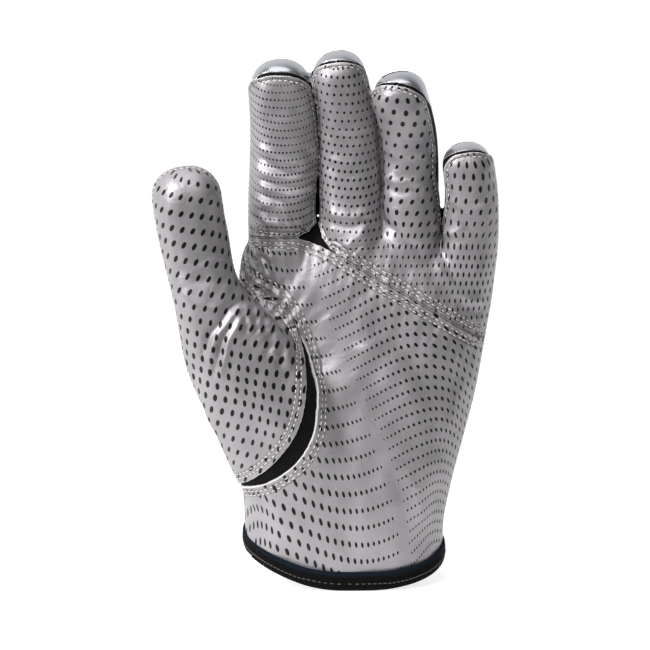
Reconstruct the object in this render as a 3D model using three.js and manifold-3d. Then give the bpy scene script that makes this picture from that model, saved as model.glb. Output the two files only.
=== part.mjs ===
// A left-hand receiver glove for football, standing as if a hand were in it.
// Millimetres. X runs from the thumb to the little finger, Y from the palm to the back of the
// hand, and Z from the wrist opening up to the fingertips. The origin is the centre of the
// opening, level with its lower rim at the side of the little finger.
//
// The glove is one hollow form, a hand in lofted sections less the same hand one wall smaller.
// Seams then divide that wall into the pieces that are sewn together: grip panels on the palm
// side, a stretch back, fourchettes between the fingers, tip caps and a bound wrist edge.
import * as THREE from "three";
import Module from "manifold-3d";
import { mergeVertices } from "three/addons/utils/BufferGeometryUtils.js";

const wasm = await Module();
wasm.setup();

// Overall sizes.
const handWidth = 93; // across the knuckles, thumb left out
const handLength = 191; // wrist rim to the end of the middle finger
const handDepth = 48; // wrist opening, palm side to back

// Cloth and seams.
const wall = 1.5; // thickness of the cloth and of the grip leather
const seamGap = 0.3; // between two pieces that are sewn edge to edge
const fourchetteWidth = 7; // the strip along the side of a finger
const capWidth = 13; // a tip cap, from the strip over the tip towards the nail
const tonguePart = 0.5; // share of a finger's half width where the back runs up between cap ends
const tongueRise = 3.5; // how far behind a finger's middle line that tongue starts
const capDrop = 17; // how far under a fingertip its cap ends on the back
const tipSeamSlope = 1.45; // how steeply a strip turns over a fingertip towards the palm
const tipStripWidth = 3; // and how narrow it gets there
const tipSeamRun = 3; // height over which an outermost finger's strip runs in over the tip

// The bound edge at the wrist is a tape folded round the raw edge.
const bindingHeight = 6.4;
const tapeThickness = 0.9;
const hemDip = 7.6; // how much lower the rim hangs in the middle of the palm
const hemRise = 5.2; // how much higher it runs on the thumb's side
const hemReach = 40; // height over which the dip and the rise die out

// Facets.
const bodySides = 28;
const fingerSides = 14;
const seamSteps = 2; // straight pieces between two points of a seam

const side = (share) => share * handWidth;
const up = (share) => share * handLength;
const deep = (share) => share * handDepth;

// How far the cutters reach past the glove.
const far = 3 * handLength;
const [leftOf, rightOf, overhead] = [side(-1.2), side(1.2), up(1.2)];

// The hand without its fingers. up is a share of the length, centre and half are shares of the
// width, palm and back are shares of the depth, each measured from the hand's middle plane.
// fall is how much lower the little finger's side lies, a share of the length.
const handSections = [
  { up: 0.0, centre: 0.009, half: 0.392, palm: 0.5, back: 0.5, fall: 0 },
  { up: 0.075, centre: 0.009, half: 0.396, palm: 0.51, back: 0.48, fall: 0 },
  { up: 0.15, centre: 0.019, half: 0.416, palm: 0.5, back: 0.43, fall: 0 },
  { up: 0.236, centre: 0.042, half: 0.438, palm: 0.47, back: 0.38, fall: 0 },
  { up: 0.327, centre: 0.063, half: 0.463, palm: 0.43, back: 0.35, fall: 0 },
  { up: 0.435, centre: 0.08, half: 0.484, palm: 0.36, back: 0.32, fall: 0 },
  { up: 0.54, centre: 0.094, half: 0.502, palm: 0.31, back: 0.29, fall: 0 },
  { up: 0.6, centre: 0.106, half: 0.492, palm: 0.25, back: 0.24, fall: 0.015 },
  { up: 0.655, centre: 0.106, half: 0.43, palm: 0.17, back: 0.17, fall: 0.05 },
];
const handCorner = 2.5; // 2 is an ellipse, more is squarer

// Each finger's middle line runs through four stations, side and up as shares of the width and
// length, deep as a share of the depth. wide and thick are its breadth and depth there, in
// shares of fingerBreadth. roll turns its front panel about the finger, in degrees, free is the
// height where it has parted from its neighbours, and turn is how far under its tip the side
// strip turns over towards the palm, in shares of fingerBreadth.
const fingerBreadth = 23;
const fingers = [
  {
    name: "index",
    roll: 4,
    free: 0.68,
    turn: 0.5,
    line: [
      { side: -0.225, deep: 0, up: 0.51, wide: 1.06, thick: 1.14 },
      { side: -0.234, deep: -0.03, up: 0.67, wide: 1.06, thick: 1.06 },
      { side: -0.227, deep: -0.1, up: 0.84, wide: 1.04, thick: 0.94 },
      { side: -0.248, deep: -0.34, up: 0.965, wide: 0.94, thick: 0.82 },
    ],
    creases: [0.34, 0.52],
  },
  {
    name: "middle",
    roll: 0,
    free: 0.69,
    turn: 0.35,
    line: [
      { side: 0.05, deep: 0, up: 0.51, wide: 1.02, thick: 1.16 },
      { side: 0.034, deep: -0.03, up: 0.68, wide: 0.99, thick: 1.08 },
      { side: 0.02, deep: -0.11, up: 0.86, wide: 0.92, thick: 0.94 },
      { side: -0.031, deep: -0.35, up: 0.979, wide: 0.83, thick: 0.82 },
    ],
    creases: [0.36],
  },
  {
    name: "ring",
    roll: 24,
    free: 0.69,
    turn: 0.48,
    line: [
      { side: 0.265, deep: 0, up: 0.5, wide: 0.96, thick: 1.12 },
      { side: 0.27, deep: -0.04, up: 0.67, wide: 0.91, thick: 1.04 },
      { side: 0.264, deep: -0.14, up: 0.82, wide: 0.88, thick: 0.92 },
      { side: 0.2, deep: -0.45, up: 0.938, wide: 0.86, thick: 0.8 },
    ],
    creases: [0.54],
  },
  {
    name: "little",
    roll: -9,
    free: 0.635,
    turn: 0.28,
    line: [
      { side: 0.42, deep: 0, up: 0.43, wide: 0.86, thick: 1.0 },
      { side: 0.498, deep: -0.05, up: 0.6, wide: 0.89, thick: 0.98 },
      { side: 0.501, deep: -0.17, up: 0.71, wide: 0.83, thick: 0.86 },
      { side: 0.468, deep: -0.35, up: 0.809, wide: 0.78, thick: 0.76 },
    ],
    creases: [0.62],
  },
];
const pairs = [0, 1, 2]; // each of these fingers and the next
const lastFinger = fingers.length - 1;
const creaseDepth = 0.9; // at the palm side, where the joint bends
const creaseWidth = 3.2;
const fingerCorner = 2.15; // 2 is an ellipse, more is squarer

// The thumb starts as the pad at its root, low on the palm.
const thumb = {
  name: "thumb",
  line: [
    { side: -0.1, deep: -0.06, up: 0.03, wide: 1.3, thick: 1.1 },
    { side: -0.186, deep: -0.23, up: 0.19, wide: 1.89, thick: 1.28 },
    { side: -0.284, deep: -0.31, up: 0.31, wide: 1.92, thick: 1.32 },
    { side: -0.434, deep: -0.36, up: 0.43, wide: 1.55, thick: 1.2 },
    { side: -0.525, deep: -0.38, up: 0.53, wide: 1.06, thick: 1.04 },
    { side: -0.582, deep: -0.41, up: 0.655, wide: 1.05, thick: 0.98 },
    { side: -0.612, deep: -0.5, up: 0.772, wide: 1.05, thick: 0.9 },
  ],
  creases: [0.66],
};
const thumbCapFoot = 0.63; // height where the thumb's tip cap starts, a share of the length
const thumbSeamLead = 1.5; // how far the thumb's side seam sits towards the palm

// Seams on the palm side, seen from the front, as [side, up] shares of the width and length.
const webSeam = [
  [-0.418, 0.62],
  [-0.4, 0.576],
  [-0.36, 0.55],
  [-0.26, 0.523],
  [-0.205, 0.492],
  [-0.167, 0.451],
];
const gussetInner = [
  [-0.167, 0.451],
  [-0.148, 0.41],
  [-0.142, 0.36],
  [-0.154, 0.31],
  [-0.192, 0.259],
  [-0.26, 0.214],
  [-0.355, 0.174],
  [-0.45, 0.147],
];
const gussetOuter = [
  [-0.167, 0.451],
  [-0.128, 0.41],
  [-0.104, 0.36],
  [-0.1, 0.31],
  [-0.118, 0.262],
  [-0.165, 0.218],
  [-0.24, 0.184],
  [-0.34, 0.16],
  [-0.45, 0.147],
];
const knuckleSeam = [
  [-0.418, 0.63],
  [-0.3, 0.632],
  [-0.179, 0.632],
  [-0.107, 0.619],
  [-0.028, 0.602],
  [0.1, 0.564],
  [0.24, 0.526],
  [0.382, 0.484],
  [0.529, 0.441],
  [0.66, 0.42],
];
const indexFoot = [
  [-0.179, 0.632],
  [-0.135, 0.64],
  [-0.095, 0.66],
];
const fingerPanelEdge = [
  [-0.095, 0.66],
  [-0.072, 0.626],
  [-0.028, 0.602],
];

// A closed three.js geometry as a solid, turned outwards if its faces point in.
function solidOf(geometry) {
  const bare = geometry.index ? geometry.toNonIndexed() : geometry;
  const positions = new THREE.BufferGeometry();
  positions.setAttribute("position", bare.getAttribute("position"));
  const merged = mergeVertices(positions, 1e-4);
  const vertProperties = new Float32Array(merged.attributes.position.array);
  const triVerts = new Uint32Array(merged.index.array);
  const made = new wasm.Manifold(new wasm.Mesh({ numProp: 3, vertProperties, triVerts }));
  if (made.volume() > 0) return made;
  for (let i = 0; i < triVerts.length; i += 3) {
    [triVerts[i + 1], triVerts[i + 2]] = [triVerts[i + 2], triVerts[i + 1]];
  }
  return new wasm.Manifold(new wasm.Mesh({ numProp: 3, vertProperties, triVerts }));
}

// A solid back as a three.js geometry.
function geometryOf(solid) {
  const mesh = solid.getMesh();
  const flat = new Float32Array(mesh.numVert * 3);
  for (let i = 0; i < mesh.numVert; i++) {
    flat.set(mesh.vertProperties.subarray(i * mesh.numProp, i * mesh.numProp + 3), i * 3);
  }
  const geometry = new THREE.BufferGeometry();
  geometry.setAttribute("position", new THREE.BufferAttribute(flat, 3));
  geometry.setIndex(new THREE.BufferAttribute(mesh.triVerts, 1));
  geometry.computeVertexNormals();
  return geometry;
}

const joined = (solids) => solids.reduce((a, b) => a.add(b));

// A skin over rings of points. Ends are closed with a fan unless the last ring meets the first.
function loft(rings, ringsMeet = false) {
  const count = rings[0].length;
  const points = rings.flat();
  const triangles = [];
  const spans = ringsMeet ? rings.length : rings.length - 1;
  for (let r = 0; r < spans; r++) {
    const low = r * count;
    const high = ((r + 1) % rings.length) * count;
    for (let i = 0; i < count; i++) {
      const next = (i + 1) % count;
      triangles.push(low + i, low + next, high + next, low + i, high + next, high + i);
    }
  }
  if (!ringsMeet) {
    const centreOf = (ring) =>
      ring.reduce((sum, p) => sum.add(p), new THREE.Vector3()).divideScalar(count);
    const foot = points.push(centreOf(rings[0])) - 1;
    const head = points.push(centreOf(rings[rings.length - 1])) - 1;
    const top = (rings.length - 1) * count;
    for (let i = 0; i < count; i++) {
      const next = (i + 1) % count;
      triangles.push(foot, next, i, head, top + i, top + next);
    }
  }
  const geometry = new THREE.BufferGeometry().setFromPoints(points);
  geometry.setIndex(triangles);
  return solidOf(geometry);
}

// One ring: a squared ellipse that can be deeper on one side, in the plane of axes u and v.
function ring({ centre, u, v, half, palm, back, corner, sides }) {
  const points = [];
  for (let i = 0; i < sides; i++) {
    const angle = (2 * Math.PI * i) / sides;
    const along = Math.sign(Math.cos(angle)) * Math.abs(Math.cos(angle)) ** (2 / corner);
    const across = Math.sign(Math.sin(angle)) * Math.abs(Math.sin(angle)) ** (2 / corner);
    const depth = across < 0 ? palm : back;
    points.push(
      centre.clone().addScaledVector(u, along * half).addScaledVector(v, across * depth),
    );
  }
  return points;
}

// A column of a table at a height or share, from one row to the next on a smooth curve.
function tableCurve(rows, key, ...columns) {
  return (at) => {
    const last = rows.length - 1;
    let i = 0;
    while (i < last - 1 && at > rows[i + 1][key]) i++;
    const t = THREE.MathUtils.clamp((at - rows[i][key]) / (rows[i + 1][key] - rows[i][key]), 0, 1);
    const read = (column) => {
      const before = rows[Math.max(i - 1, 0)][column];
      const from = rows[i][column];
      const to = rows[i + 1][column];
      const after = rows[Math.min(i + 2, last)][column];
      const bend = ((to - before) / 2) * (t - 2 * t * t + t ** 3) + ((after - from) / 2) * (t ** 3 - t * t);
      return from + (to - from) * (3 * t * t - 2 * t ** 3) + bend;
    };
    return columns.map(read);
  };
}

// The hand's section at a height, grown or shrunk by an offset from its outer face.
const handShape = tableCurve(handSections, "up", "centre", "half", "palm", "back", "fall");
function handRing(height, offset) {
  const [centre, half, palm, back, fall] = handShape(height / handLength);
  const points = ring({
    centre: new THREE.Vector3(side(centre), 0, height),
    u: new THREE.Vector3(1, 0, 0),
    v: new THREE.Vector3(0, 1, 0),
    half: side(half) + offset,
    palm: deep(palm) + offset,
    back: deep(back) + offset,
    corner: handCorner,
    sides: bodySides,
  });
  const fade = 1 - THREE.MathUtils.smoothstep(height, 0, hemReach);
  for (const p of points) {
    const front = Math.max(0, -p.y / (deep(palm) + offset));
    const thumbward = THREE.MathUtils.smoothstep(side(centre) - p.x, 0, side(half));
    p.z += fade * (hemRise * thumbward - hemDip * front ** 1.5);
    p.z -= up(fall) * THREE.MathUtils.smoothstep(p.x, side(0.12), side(0.42));
  }
  return points;
}

const palmTop = up(handSections[handSections.length - 1].up);
const edgeHeight = tapeThickness + seamGap; // the panels end just above the folded tape
const handHeights = handSections.map((row) => up(row.up)).slice(1, -1);
const handOuter = loft(
  [edgeHeight, ...handHeights, palmTop].map((height) => handRing(height, 0)),
);
const handInner = loft(
  [-edgeHeight, ...handHeights, palmTop - wall].map((height) => handRing(height, -wall)),
);

// A finger's middle line, and its breadth and depth at a share of the way along.
function fingerLine(finger) {
  const points = finger.line.map(
    (row) => new THREE.Vector3(side(row.side), deep(row.deep), up(row.up)),
  );
  const curve = new THREE.CatmullRomCurve3(points, false, "centripetal");
  const length = curve.getLength();
  let along = 0;
  const stations = finger.line.map((row, i) => {
    if (i > 0) along += points[i].distanceTo(points[i - 1]);
    return { along, wide: row.wide, thick: row.thick };
  });
  for (const station of stations) station.along /= along;
  const sizes = tableCurve(stations, "along", "wide", "thick");
  return { curve, length, sizes };
}

// The tips are round: from where the dome starts, the section shrinks as a quarter ellipse does.
const domeAngles = [0, 40, 70];
const shaftShares = [0, 0.2, 0.68];
const domeRoom = 1.4; // a shaft section keeps this many dome lengths from the tip
function fingerLoft(finger, offset) {
  const { curve, length, sizes } = fingerLine(finger);
  const tip = finger.line[finger.line.length - 1];
  const domeShare = (tip.wide * fingerBreadth * 0.5) / length;
  const creaseShare = creaseWidth / length;
  const creased = (at) => finger.creases.some((crease) => Math.abs(crease - at) < 1e-6);
  const clearOf = (at) => finger.creases.every((crease) => Math.abs(crease - at) > 2 * creaseShare);
  const shaft = [
    ...shaftShares.filter((at) => clearOf(at) && at < 1 - domeRoom * domeShare),
    ...finger.creases.flatMap((at) => [at - creaseShare, at, at + creaseShare]),
  ];
  const stations = shaft.sort((a, b) => a - b).map((at) => ({ at, shrink: 1 }));
  for (const degrees of domeAngles) {
    const angle = THREE.MathUtils.degToRad(degrees);
    stations.push({ at: 1 - domeShare + domeShare * Math.sin(angle), shrink: Math.cos(angle) });
  }
  const reach = 1 + offset / length; // a smaller form stops one wall short of the tip
  const rings = stations.map(({ at, shrink }) => {
    const centre = curve.getPointAt(Math.min(at * reach, 1));
    const tangent = curve.getTangentAt(Math.min(at * reach, 1));
    const u = new THREE.Vector3(1, 0, 0).addScaledVector(tangent, -tangent.x).normalize();
    const v = new THREE.Vector3().crossVectors(tangent, u);
    const [wide, thick] = sizes(at);
    const half = ((wide * fingerBreadth) / 2 + offset) * shrink;
    const depth = ((thick * fingerBreadth) / 2 + offset) * shrink;
    const palm = depth - (creased(at) ? creaseDepth : 0);
    return ring({ centre, u, v, half, palm, back: depth, corner: fingerCorner, sides: fingerSides });
  });
  return loft(rings);
}

// The whole wall: everything one wall thick round the hollow.
const outerForm = joined([
  handOuter,
  fingerLoft(thumb, 0),
  ...fingers.map((finger) => fingerLoft(finger, 0)),
]);
const hollow = joined([
  handInner,
  fingerLoft(thumb, -wall),
  ...fingers.map((finger) => fingerLoft(finger, -wall)),
]);
const cloth = outerForm.subtract(hollow);

// Where a middle line is at a height, and how wide the finger is there.
function lineAtHeight(finger) {
  const { curve, sizes } = fingerLine(finger);
  const count = 40;
  const samples = curve.getSpacedPoints(count);
  return (height) => {
    const above = samples.findIndex((p) => p.z >= height);
    const last = samples.length - 1;
    const at = above < 0 ? last : above;
    if (above <= 0) return { x: samples[at].x, y: samples[at].y, half: 0.5 * fingerBreadth };
    const below = samples[at - 1];
    const t = (height - below.z) / (samples[at].z - below.z);
    const point = below.clone().lerp(samples[at], t);
    const half = (sizes((at - 1 + t) / count)[0] * fingerBreadth) / 2;
    return { x: point.x, y: point.y, half };
  };
}
const lineAt = fingers.map(lineAtHeight);
const thumbAt = lineAtHeight(thumb);
const tipHeights = fingers.map((finger) => up(finger.line[finger.line.length - 1].up));
const turnHeights = tipHeights.map((height, i) => height - fingers[i].turn * fingerBreadth);

// The side seam's depth. All fingers share it up to their free height, then each follows its own
// middle line, and near the tip it turns over towards the palm.
const looseRun = 2 * fourchetteWidth;
const halfStrip = fourchetteWidth / 2;
const rootSeamDepth = deep(-0.055);
const rootSeam = (height) => rootSeamDepth * THREE.MathUtils.smoothstep(height, up(0.5), up(0.72));
function fingerSeam(index) {
  const turn = turnHeights[index];
  const free = up(fingers[index].free);
  const roll = Math.tan(THREE.MathUtils.degToRad(fingers[index].roll));
  return (x, height) => {
    const line = lineAt[index](Math.min(height, turn));
    const loose = THREE.MathUtils.smoothstep(height, free, free + looseRun);
    const depth = THREE.MathUtils.lerp(rootSeam(height), line.y, loose);
    return depth - loose * roll * (x - line.x) - tipSeamSlope * Math.max(0, height - turn);
  };
}

// The hand's own side seam slides over to the thumb's middle line on the thumb's side.
const thumbEdge = side(-0.385);
function handSeam(x, height) {
  const share = THREE.MathUtils.smoothstep(-x, -thumbEdge, -thumbEdge + fourchetteWidth);
  const rise = THREE.MathUtils.smoothstep(height, up(0.1), up(0.33));
  const thumbDepth = THREE.MathUtils.lerp(rootSeam(height), thumbAt(height).y - thumbSeamLead, rise);
  return THREE.MathUtils.lerp(rootSeam(height), thumbDepth, share);
}

// A block between two depths that follow a seam, over a grid of columns (x) and rows (z). Each
// depth is a length or a function of the height.
function seamBlock({ seam, columns, rows }, from, to) {
  const grid = rows.flatMap((z) => columns.map((x) => new THREE.Vector3(x, seam(x, z), z)));
  const depthAt = (depth, height) => (typeof depth === "function" ? depth(height) : depth);
  const layerAt = (depth) =>
    grid.map((p) => {
      const offset = depthAt(depth, p.z);
      return new THREE.Vector3(p.x, Math.abs(offset) < far ? p.y + offset : offset, p.z);
    });
  const points = [...layerAt(from), ...layerAt(to)];
  const at = (c, r, layer) => layer * grid.length + r * columns.length + c;
  const triangles = [];
  const quad = (a, b, c, d) => triangles.push(a, b, c, a, c, d);
  const lastColumn = columns.length - 1;
  const lastRow = rows.length - 1;
  for (let r = 0; r < lastRow; r++) {
    for (let c = 0; c < lastColumn; c++) {
      quad(at(c, r, 0), at(c + 1, r, 0), at(c + 1, r + 1, 0), at(c, r + 1, 0));
      quad(at(c, r, 1), at(c, r + 1, 1), at(c + 1, r + 1, 1), at(c + 1, r, 1));
    }
  }
  for (let c = 0; c < lastColumn; c++) {
    quad(at(c, 0, 0), at(c, 0, 1), at(c + 1, 0, 1), at(c + 1, 0, 0));
    quad(at(c, lastRow, 0), at(c + 1, lastRow, 0), at(c + 1, lastRow, 1), at(c, lastRow, 1));
  }
  for (let r = 0; r < lastRow; r++) {
    quad(at(0, r, 0), at(0, r + 1, 0), at(0, r + 1, 1), at(0, r, 1));
    const c = lastColumn;
    quad(at(c, r, 0), at(c, r, 1), at(c, r + 1, 1), at(c, r + 1, 0));
  }
  const geometry = new THREE.BufferGeometry().setFromPoints(points);
  geometry.setIndex(triangles);
  return solidOf(geometry);
}

// An outline in the front view, in millimetres, cut right through from front to back.
function frontPrism(outline, depthFrom = -far, depthTo = far) {
  const shape = new THREE.Shape(outline.map(([x, z]) => new THREE.Vector2(x, z)));
  const geometry = new THREE.ExtrudeGeometry(shape, {
    depth: depthTo - depthFrom,
    bevelEnabled: false,
  });
  geometry.rotateX(Math.PI / 2); // the sketch's y becomes z, and its depth runs towards -y
  geometry.translate(0, depthTo, 0);
  return solidOf(geometry);
}
const box = (left, right, foot, head, depthFrom, depthTo) =>
  frontPrism([[left, foot], [right, foot], [right, head], [left, head]], depthFrom, depthTo);

// Seam surfaces: one for the hand with its thumb and one for each finger.
const rowsOf = (heights) => [...heights].sort((a, b) => a - b);
const handSurface = {
  seam: handSeam,
  columns: [leftOf, thumbEdge - fourchetteWidth, thumbEdge - halfStrip, thumbEdge, rightOf],
  rows: rowsOf([-0.1, 0.1, 0.22, 0.33, 0.43, 0.53, 0.61, 0.72, 0.778, 1].map(up)),
};
const fingerMiddles = lineAt.map((at) => at(up(0.7)).x);
const fingerSurfaces = fingers.map((finger, i) => ({
  seam: fingerSeam(i),
  columns: [-1.5, -0.75, 0, 0.75, 1.5].map((share) => fingerMiddles[i] + share * fingerBreadth),
  rows: rowsOf([
    up(0.55),
    up(finger.free),
    up(finger.free) + looseRun,
    turnHeights[i],
    turnHeights[i] + tipSeamRun,
    tipHeights[i] + fingerBreadth,
  ]),
}));

// Each finger has the space above fingerFoot up to the middle of the gap to its neighbour. The
// spaces reach over their borders by a hair, so that what is joined across a border is one body.
const fingerFoot = up(0.6);
const hair = 0.04;
const gapHeights = [fingerFoot - 2 * hair, ...[0.64, 0.68, 0.74, 0.8, 0.86, 0.92, 1.1].map(up)];
const thumbGap = side(-0.418);
const tipClearance = 0.2 * fingerBreadth; // near a tip the border runs straight up
function gapLine(index) {
  const limit = Math.min(tipHeights[index], tipHeights[index + 1]) - tipClearance;
  return gapHeights.map((height) => {
    const [one, two] = [lineAt[index], lineAt[index + 1]].map((at) => at(Math.min(height, limit)));
    return [(one.x + one.half + two.x - two.half) / 2, height];
  });
}
const gapLines = pairs.map(gapLine);
const straightLine = (x) => gapHeights.map((height) => [x, height]);
function fingerSpace(index) {
  const left = index > 0 ? gapLines[index - 1] : straightLine(thumbGap);
  const right = index < lastFinger ? gapLines[index] : straightLine(rightOf);
  return frontPrism([
    ...left.map(([x, z]) => [x - hair, z]),
    ...right.map(([x, z]) => [x + hair, z]).reverse(),
  ]);
}
const handSpace = joined([
  box(leftOf, rightOf, -handLength, fingerFoot + hair, -far, far),
  box(leftOf, thumbGap, 0, overhead, -far, far),
]);
const spaces = fingers.map((_, i) => fingerSpace(i));
const between = (from, to) =>
  joined([
    seamBlock(handSurface, from, to).intersect(handSpace),
    ...fingerSurfaces.map((surface, i) => seamBlock(surface, from, to).intersect(spaces[i])),
  ]);

// Fourchettes. Each finger's strip is split along its middle line, so that its two sides belong
// to two fourchettes. The outermost fingers have one only, which runs on over the tip.
const halfGap = seamGap / 2;
const overTip = 0.36 * fingerBreadth;
const stripHeights = [0.58, 0.66, 0.74, 0.8, 0.86, 0.92].map(up);
const stripReach = 1.6 * fingerBreadth;
const stripHalf = (index) => (height) =>
  THREE.MathUtils.mapLinear(
    THREE.MathUtils.smoothstep(height, turnHeights[index], turnHeights[index] + tipSeamRun),
    0,
    1,
    halfStrip,
    tipStripWidth / 2,
  );
function stripSide(index, direction, grow) {
  const turn = turnHeights[index];
  const halfAt = stripHalf(index);
  const alone = (index === 0 && direction > 0) || (index === lastFinger && direction < 0);
  const inset = (height) => (alone && height > turn ? overTip : 0);
  const lower = stripHeights.filter((height) => height < turn - 1);
  const edge = [...lower, turn, turn + tipSeamRun, overhead].map((height) => [
    lineAt[index](height).x - direction * (grow + inset(height)),
    height,
  ]);
  const outer = fingerMiddles[index] + direction * stripReach;
  const half = frontPrism([...edge, [outer, overhead], [outer, stripHeights[0]]]);
  const [front, rear] = [(height) => -halfAt(height) - grow, (height) => halfAt(height) + grow];
  return seamBlock(fingerSurfaces[index], front, rear).intersect(spaces[index]).intersect(half);
}
const crotchFoot = up(0.56);
function crotchStrip(index, grow) {
  const [one, two] = [lineAt[index](fingerFoot), lineAt[index + 1](fingerFoot)];
  return seamBlock(handSurface, -halfStrip - grow, halfStrip + grow).intersect(
    box(one.x - grow, two.x + grow, crotchFoot, fingerFoot + hair, -far, far),
  );
}
const stripZone = (index, grow) =>
  joined([
    stripSide(index, 1, grow),
    stripSide(index + 1, -1, grow),
    crotchStrip(index, grow),
  ]);

// A tip cap runs from the strip over the tip, and the back's tongue comes up between its ends.
function capZone(index, grow) {
  const tip = fingers[index].line[fingers[index].line.length - 1];
  const foot = tipHeights[index] - capDrop;
  const band = seamBlock(fingerSurfaces[index], halfGap, halfStrip + capWidth + grow);
  const head = box(leftOf, rightOf, foot - grow, overhead, -far, far);
  const tongueHalf = (tip.wide * fingerBreadth * tonguePart) / 2 - grow;
  const tongueDepth = deep(tip.deep) + tongueRise + grow;
  const middle = side(tip.side);
  const low = foot - fingerBreadth;
  const tongue = box(middle - tongueHalf, middle + tongueHalf, low, overhead, tongueDepth, far);
  return band.intersect(head).intersect(spaces[index]).subtract(tongue);
}
const thumbCapZone = (grow) => box(leftOf, thumbGap, up(thumbCapFoot) - grow, overhead, -far, far);

// A seam drawn through its points as a smooth line, in millimetres.
function seamLine(points) {
  const curve = new THREE.SplineCurve(
    points.map(([across, along]) => new THREE.Vector2(side(across), up(along))),
  );
  return curve.getPoints((points.length - 1) * seamSteps).map((p) => [p.x, p.y]);
}

// The narrow cut along a seam.
function seamCut(line) {
  const left = [];
  const right = [];
  line.forEach(([x, z], i) => {
    const [x0, z0] = line[Math.max(i - 1, 0)];
    const [x1, z1] = line[Math.min(i + 1, line.length - 1)];
    const size = Math.hypot(x1 - x0, z1 - z0);
    const across = [(-(z1 - z0) / size) * halfGap, ((x1 - x0) / size) * halfGap];
    left.push([x + across[0], z + across[1]]);
    right.unshift([x - across[0], z - across[1]]);
  });
  return frontPrism([...left, ...right]);
}

// The palm side's seams divide everything in front of the side seam.
const lines = {
  web: seamLine(webSeam),
  inner: seamLine(gussetInner),
  outer: seamLine(gussetOuter),
  knuckle: seamLine(knuckleSeam),
  indexFoot: seamLine(indexFoot),
  fingerEdge: seamLine(fingerPanelEdge),
};
const frontCuts = joined(Object.values(lines).map(seamCut));
const footAt = 2 * seamSteps; // where the index panel's lower edge meets the knuckle seam
const edgeAt = 4 * seamSteps; // and where the finger panel's edge does
const reversed = (line) => [...line].reverse();
const endOf = (line) => line[line.length - 1];
const [west, east, south, north] = [-far, far, -far, far];
const gapTop = gapLines[0].filter(([, height]) => height > endOf(lines.indexFoot)[1] + 1);
const outlines = {
  thumb: [
    [lines.web[0][0], north],
    ...lines.web,
    ...lines.inner.slice(1),
    [west, endOf(lines.inner)[1]],
    [west, north],
  ],
  gusset: [...lines.inner, ...reversed(lines.outer).slice(1, -1)],
  palm: [
    ...lines.web,
    ...lines.outer.slice(1),
    [west, endOf(lines.outer)[1]],
    [west, south],
    [east, south],
    [east, endOf(lines.knuckle)[1]],
    ...reversed(lines.knuckle),
  ],
  index: [
    ...lines.knuckle.slice(0, footAt),
    ...lines.indexFoot,
    ...gapTop,
    [endOf(gapTop)[0], north],
    [lines.knuckle[0][0], north],
  ],
  triangle: [
    ...lines.indexFoot,
    ...lines.fingerEdge.slice(1),
    ...reversed(lines.knuckle.slice(footAt + 1, edgeAt)),
  ],
  fingers: [
    [endOf(gapTop)[0], north],
    ...reversed(gapTop),
    ...lines.fingerEdge,
    ...lines.knuckle.slice(edgeAt + 1),
    [east, endOf(lines.knuckle)[1]],
    [east, north],
  ],
};

// Zones of the wall, and the pieces cut from it.
const strips = joined(pairs.map((i) => stripZone(i, halfGap)));
const frontZone = between(-far, -halfGap).subtract(frontCuts);
const behind = between(halfGap, far);
const capZones = joined(fingers.map((_, i) => capZone(i, halfGap)));
const frontCloth = cloth.intersect(frontZone);
const sewnFront = frontCloth.subtract(strips);
const frontPiece = (name) => sewnFront.intersect(frontPrism(outlines[name]));
const rearCloth = cloth.intersect(behind).subtract(strips);
const back = rearCloth.subtract(capZones).subtract(thumbCapZone(halfGap));

// The first fourchette ends in a small triangle on the palm side, under the index finger.
function fourchette(index) {
  const strip = cloth.intersect(stripZone(index, -halfGap));
  if (index > 0) return strip;
  const gore = between(-far, 0).intersect(frontPrism(outlines.triangle)).subtract(frontCuts);
  return strip.add(cloth.intersect(gore));
}

// The tape lies outside and inside the cloth and joins under its raw edge.
function bindingRings() {
  const outerFace = seamGap + tapeThickness;
  const innerFace = -wall - seamGap - tapeThickness;
  const bevel = tapeThickness / 2;
  const profile = [
    [outerFace, bindingHeight],
    [outerFace, bevel],
    [outerFace - bevel, 0],
    [innerFace + bevel, 0],
    [innerFace, bevel],
    [innerFace, bindingHeight],
    [-wall - seamGap, bindingHeight],
    [-wall - seamGap, tapeThickness],
    [seamGap, tapeThickness],
    [seamGap, bindingHeight],
  ];
  return profile.map(([offset, height]) => handRing(height, offset));
}

// The largest body of a cut, without the crumbs that a cut can leave at its ends.
const crumb = 2; // cubic millimetres
function withoutCrumbs(solid) {
  const bodies = solid.decompose();
  const kept = bodies.filter((body) => body.volume() > crumb);
  return kept.length === bodies.length ? solid : joined(kept);
}

// Finishes.
const grip = { color: 0xb4b1b5, roughness: 0.42, metalness: 0.35 };
const stretch = { color: 0x1c1c20, roughness: 0.85, metalness: 0 };
const capFilm = { color: 0xd4d3d4, roughness: 0.3, metalness: 0.4 };
const tape = { color: 0x121214, roughness: 0.9, metalness: 0 };

const glove = new THREE.Group();
function addPiece(name, solid, finish) {
  const geometry = geometryOf(withoutCrumbs(solid));
  const mesh = new THREE.Mesh(geometry, new THREE.MeshStandardMaterial(finish));
  mesh.name = name;
  glove.add(mesh);
}
addPiece("palm_panel", frontPiece("palm"), grip);
addPiece("index_panel", frontPiece("index"), grip);
addPiece("finger_panel", frontPiece("fingers"), grip);
addPiece("thumb_panel", frontPiece("thumb"), grip);
addPiece("thumb_gusset", frontPiece("gusset"), stretch);
addPiece("back_panel", back, stretch);
for (const index of pairs) {
  const name = `fourchette_${fingers[index].name}_${fingers[index + 1].name}`;
  addPiece(name, fourchette(index), stretch);
}
fingers.forEach((finger, i) => {
  addPiece(`tip_cap_${finger.name}`, rearCloth.intersect(capZone(i, -halfGap)), capFilm);
});
addPiece("tip_cap_thumb", rearCloth.intersect(thumbCapZone(-halfGap)), capFilm);
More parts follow.
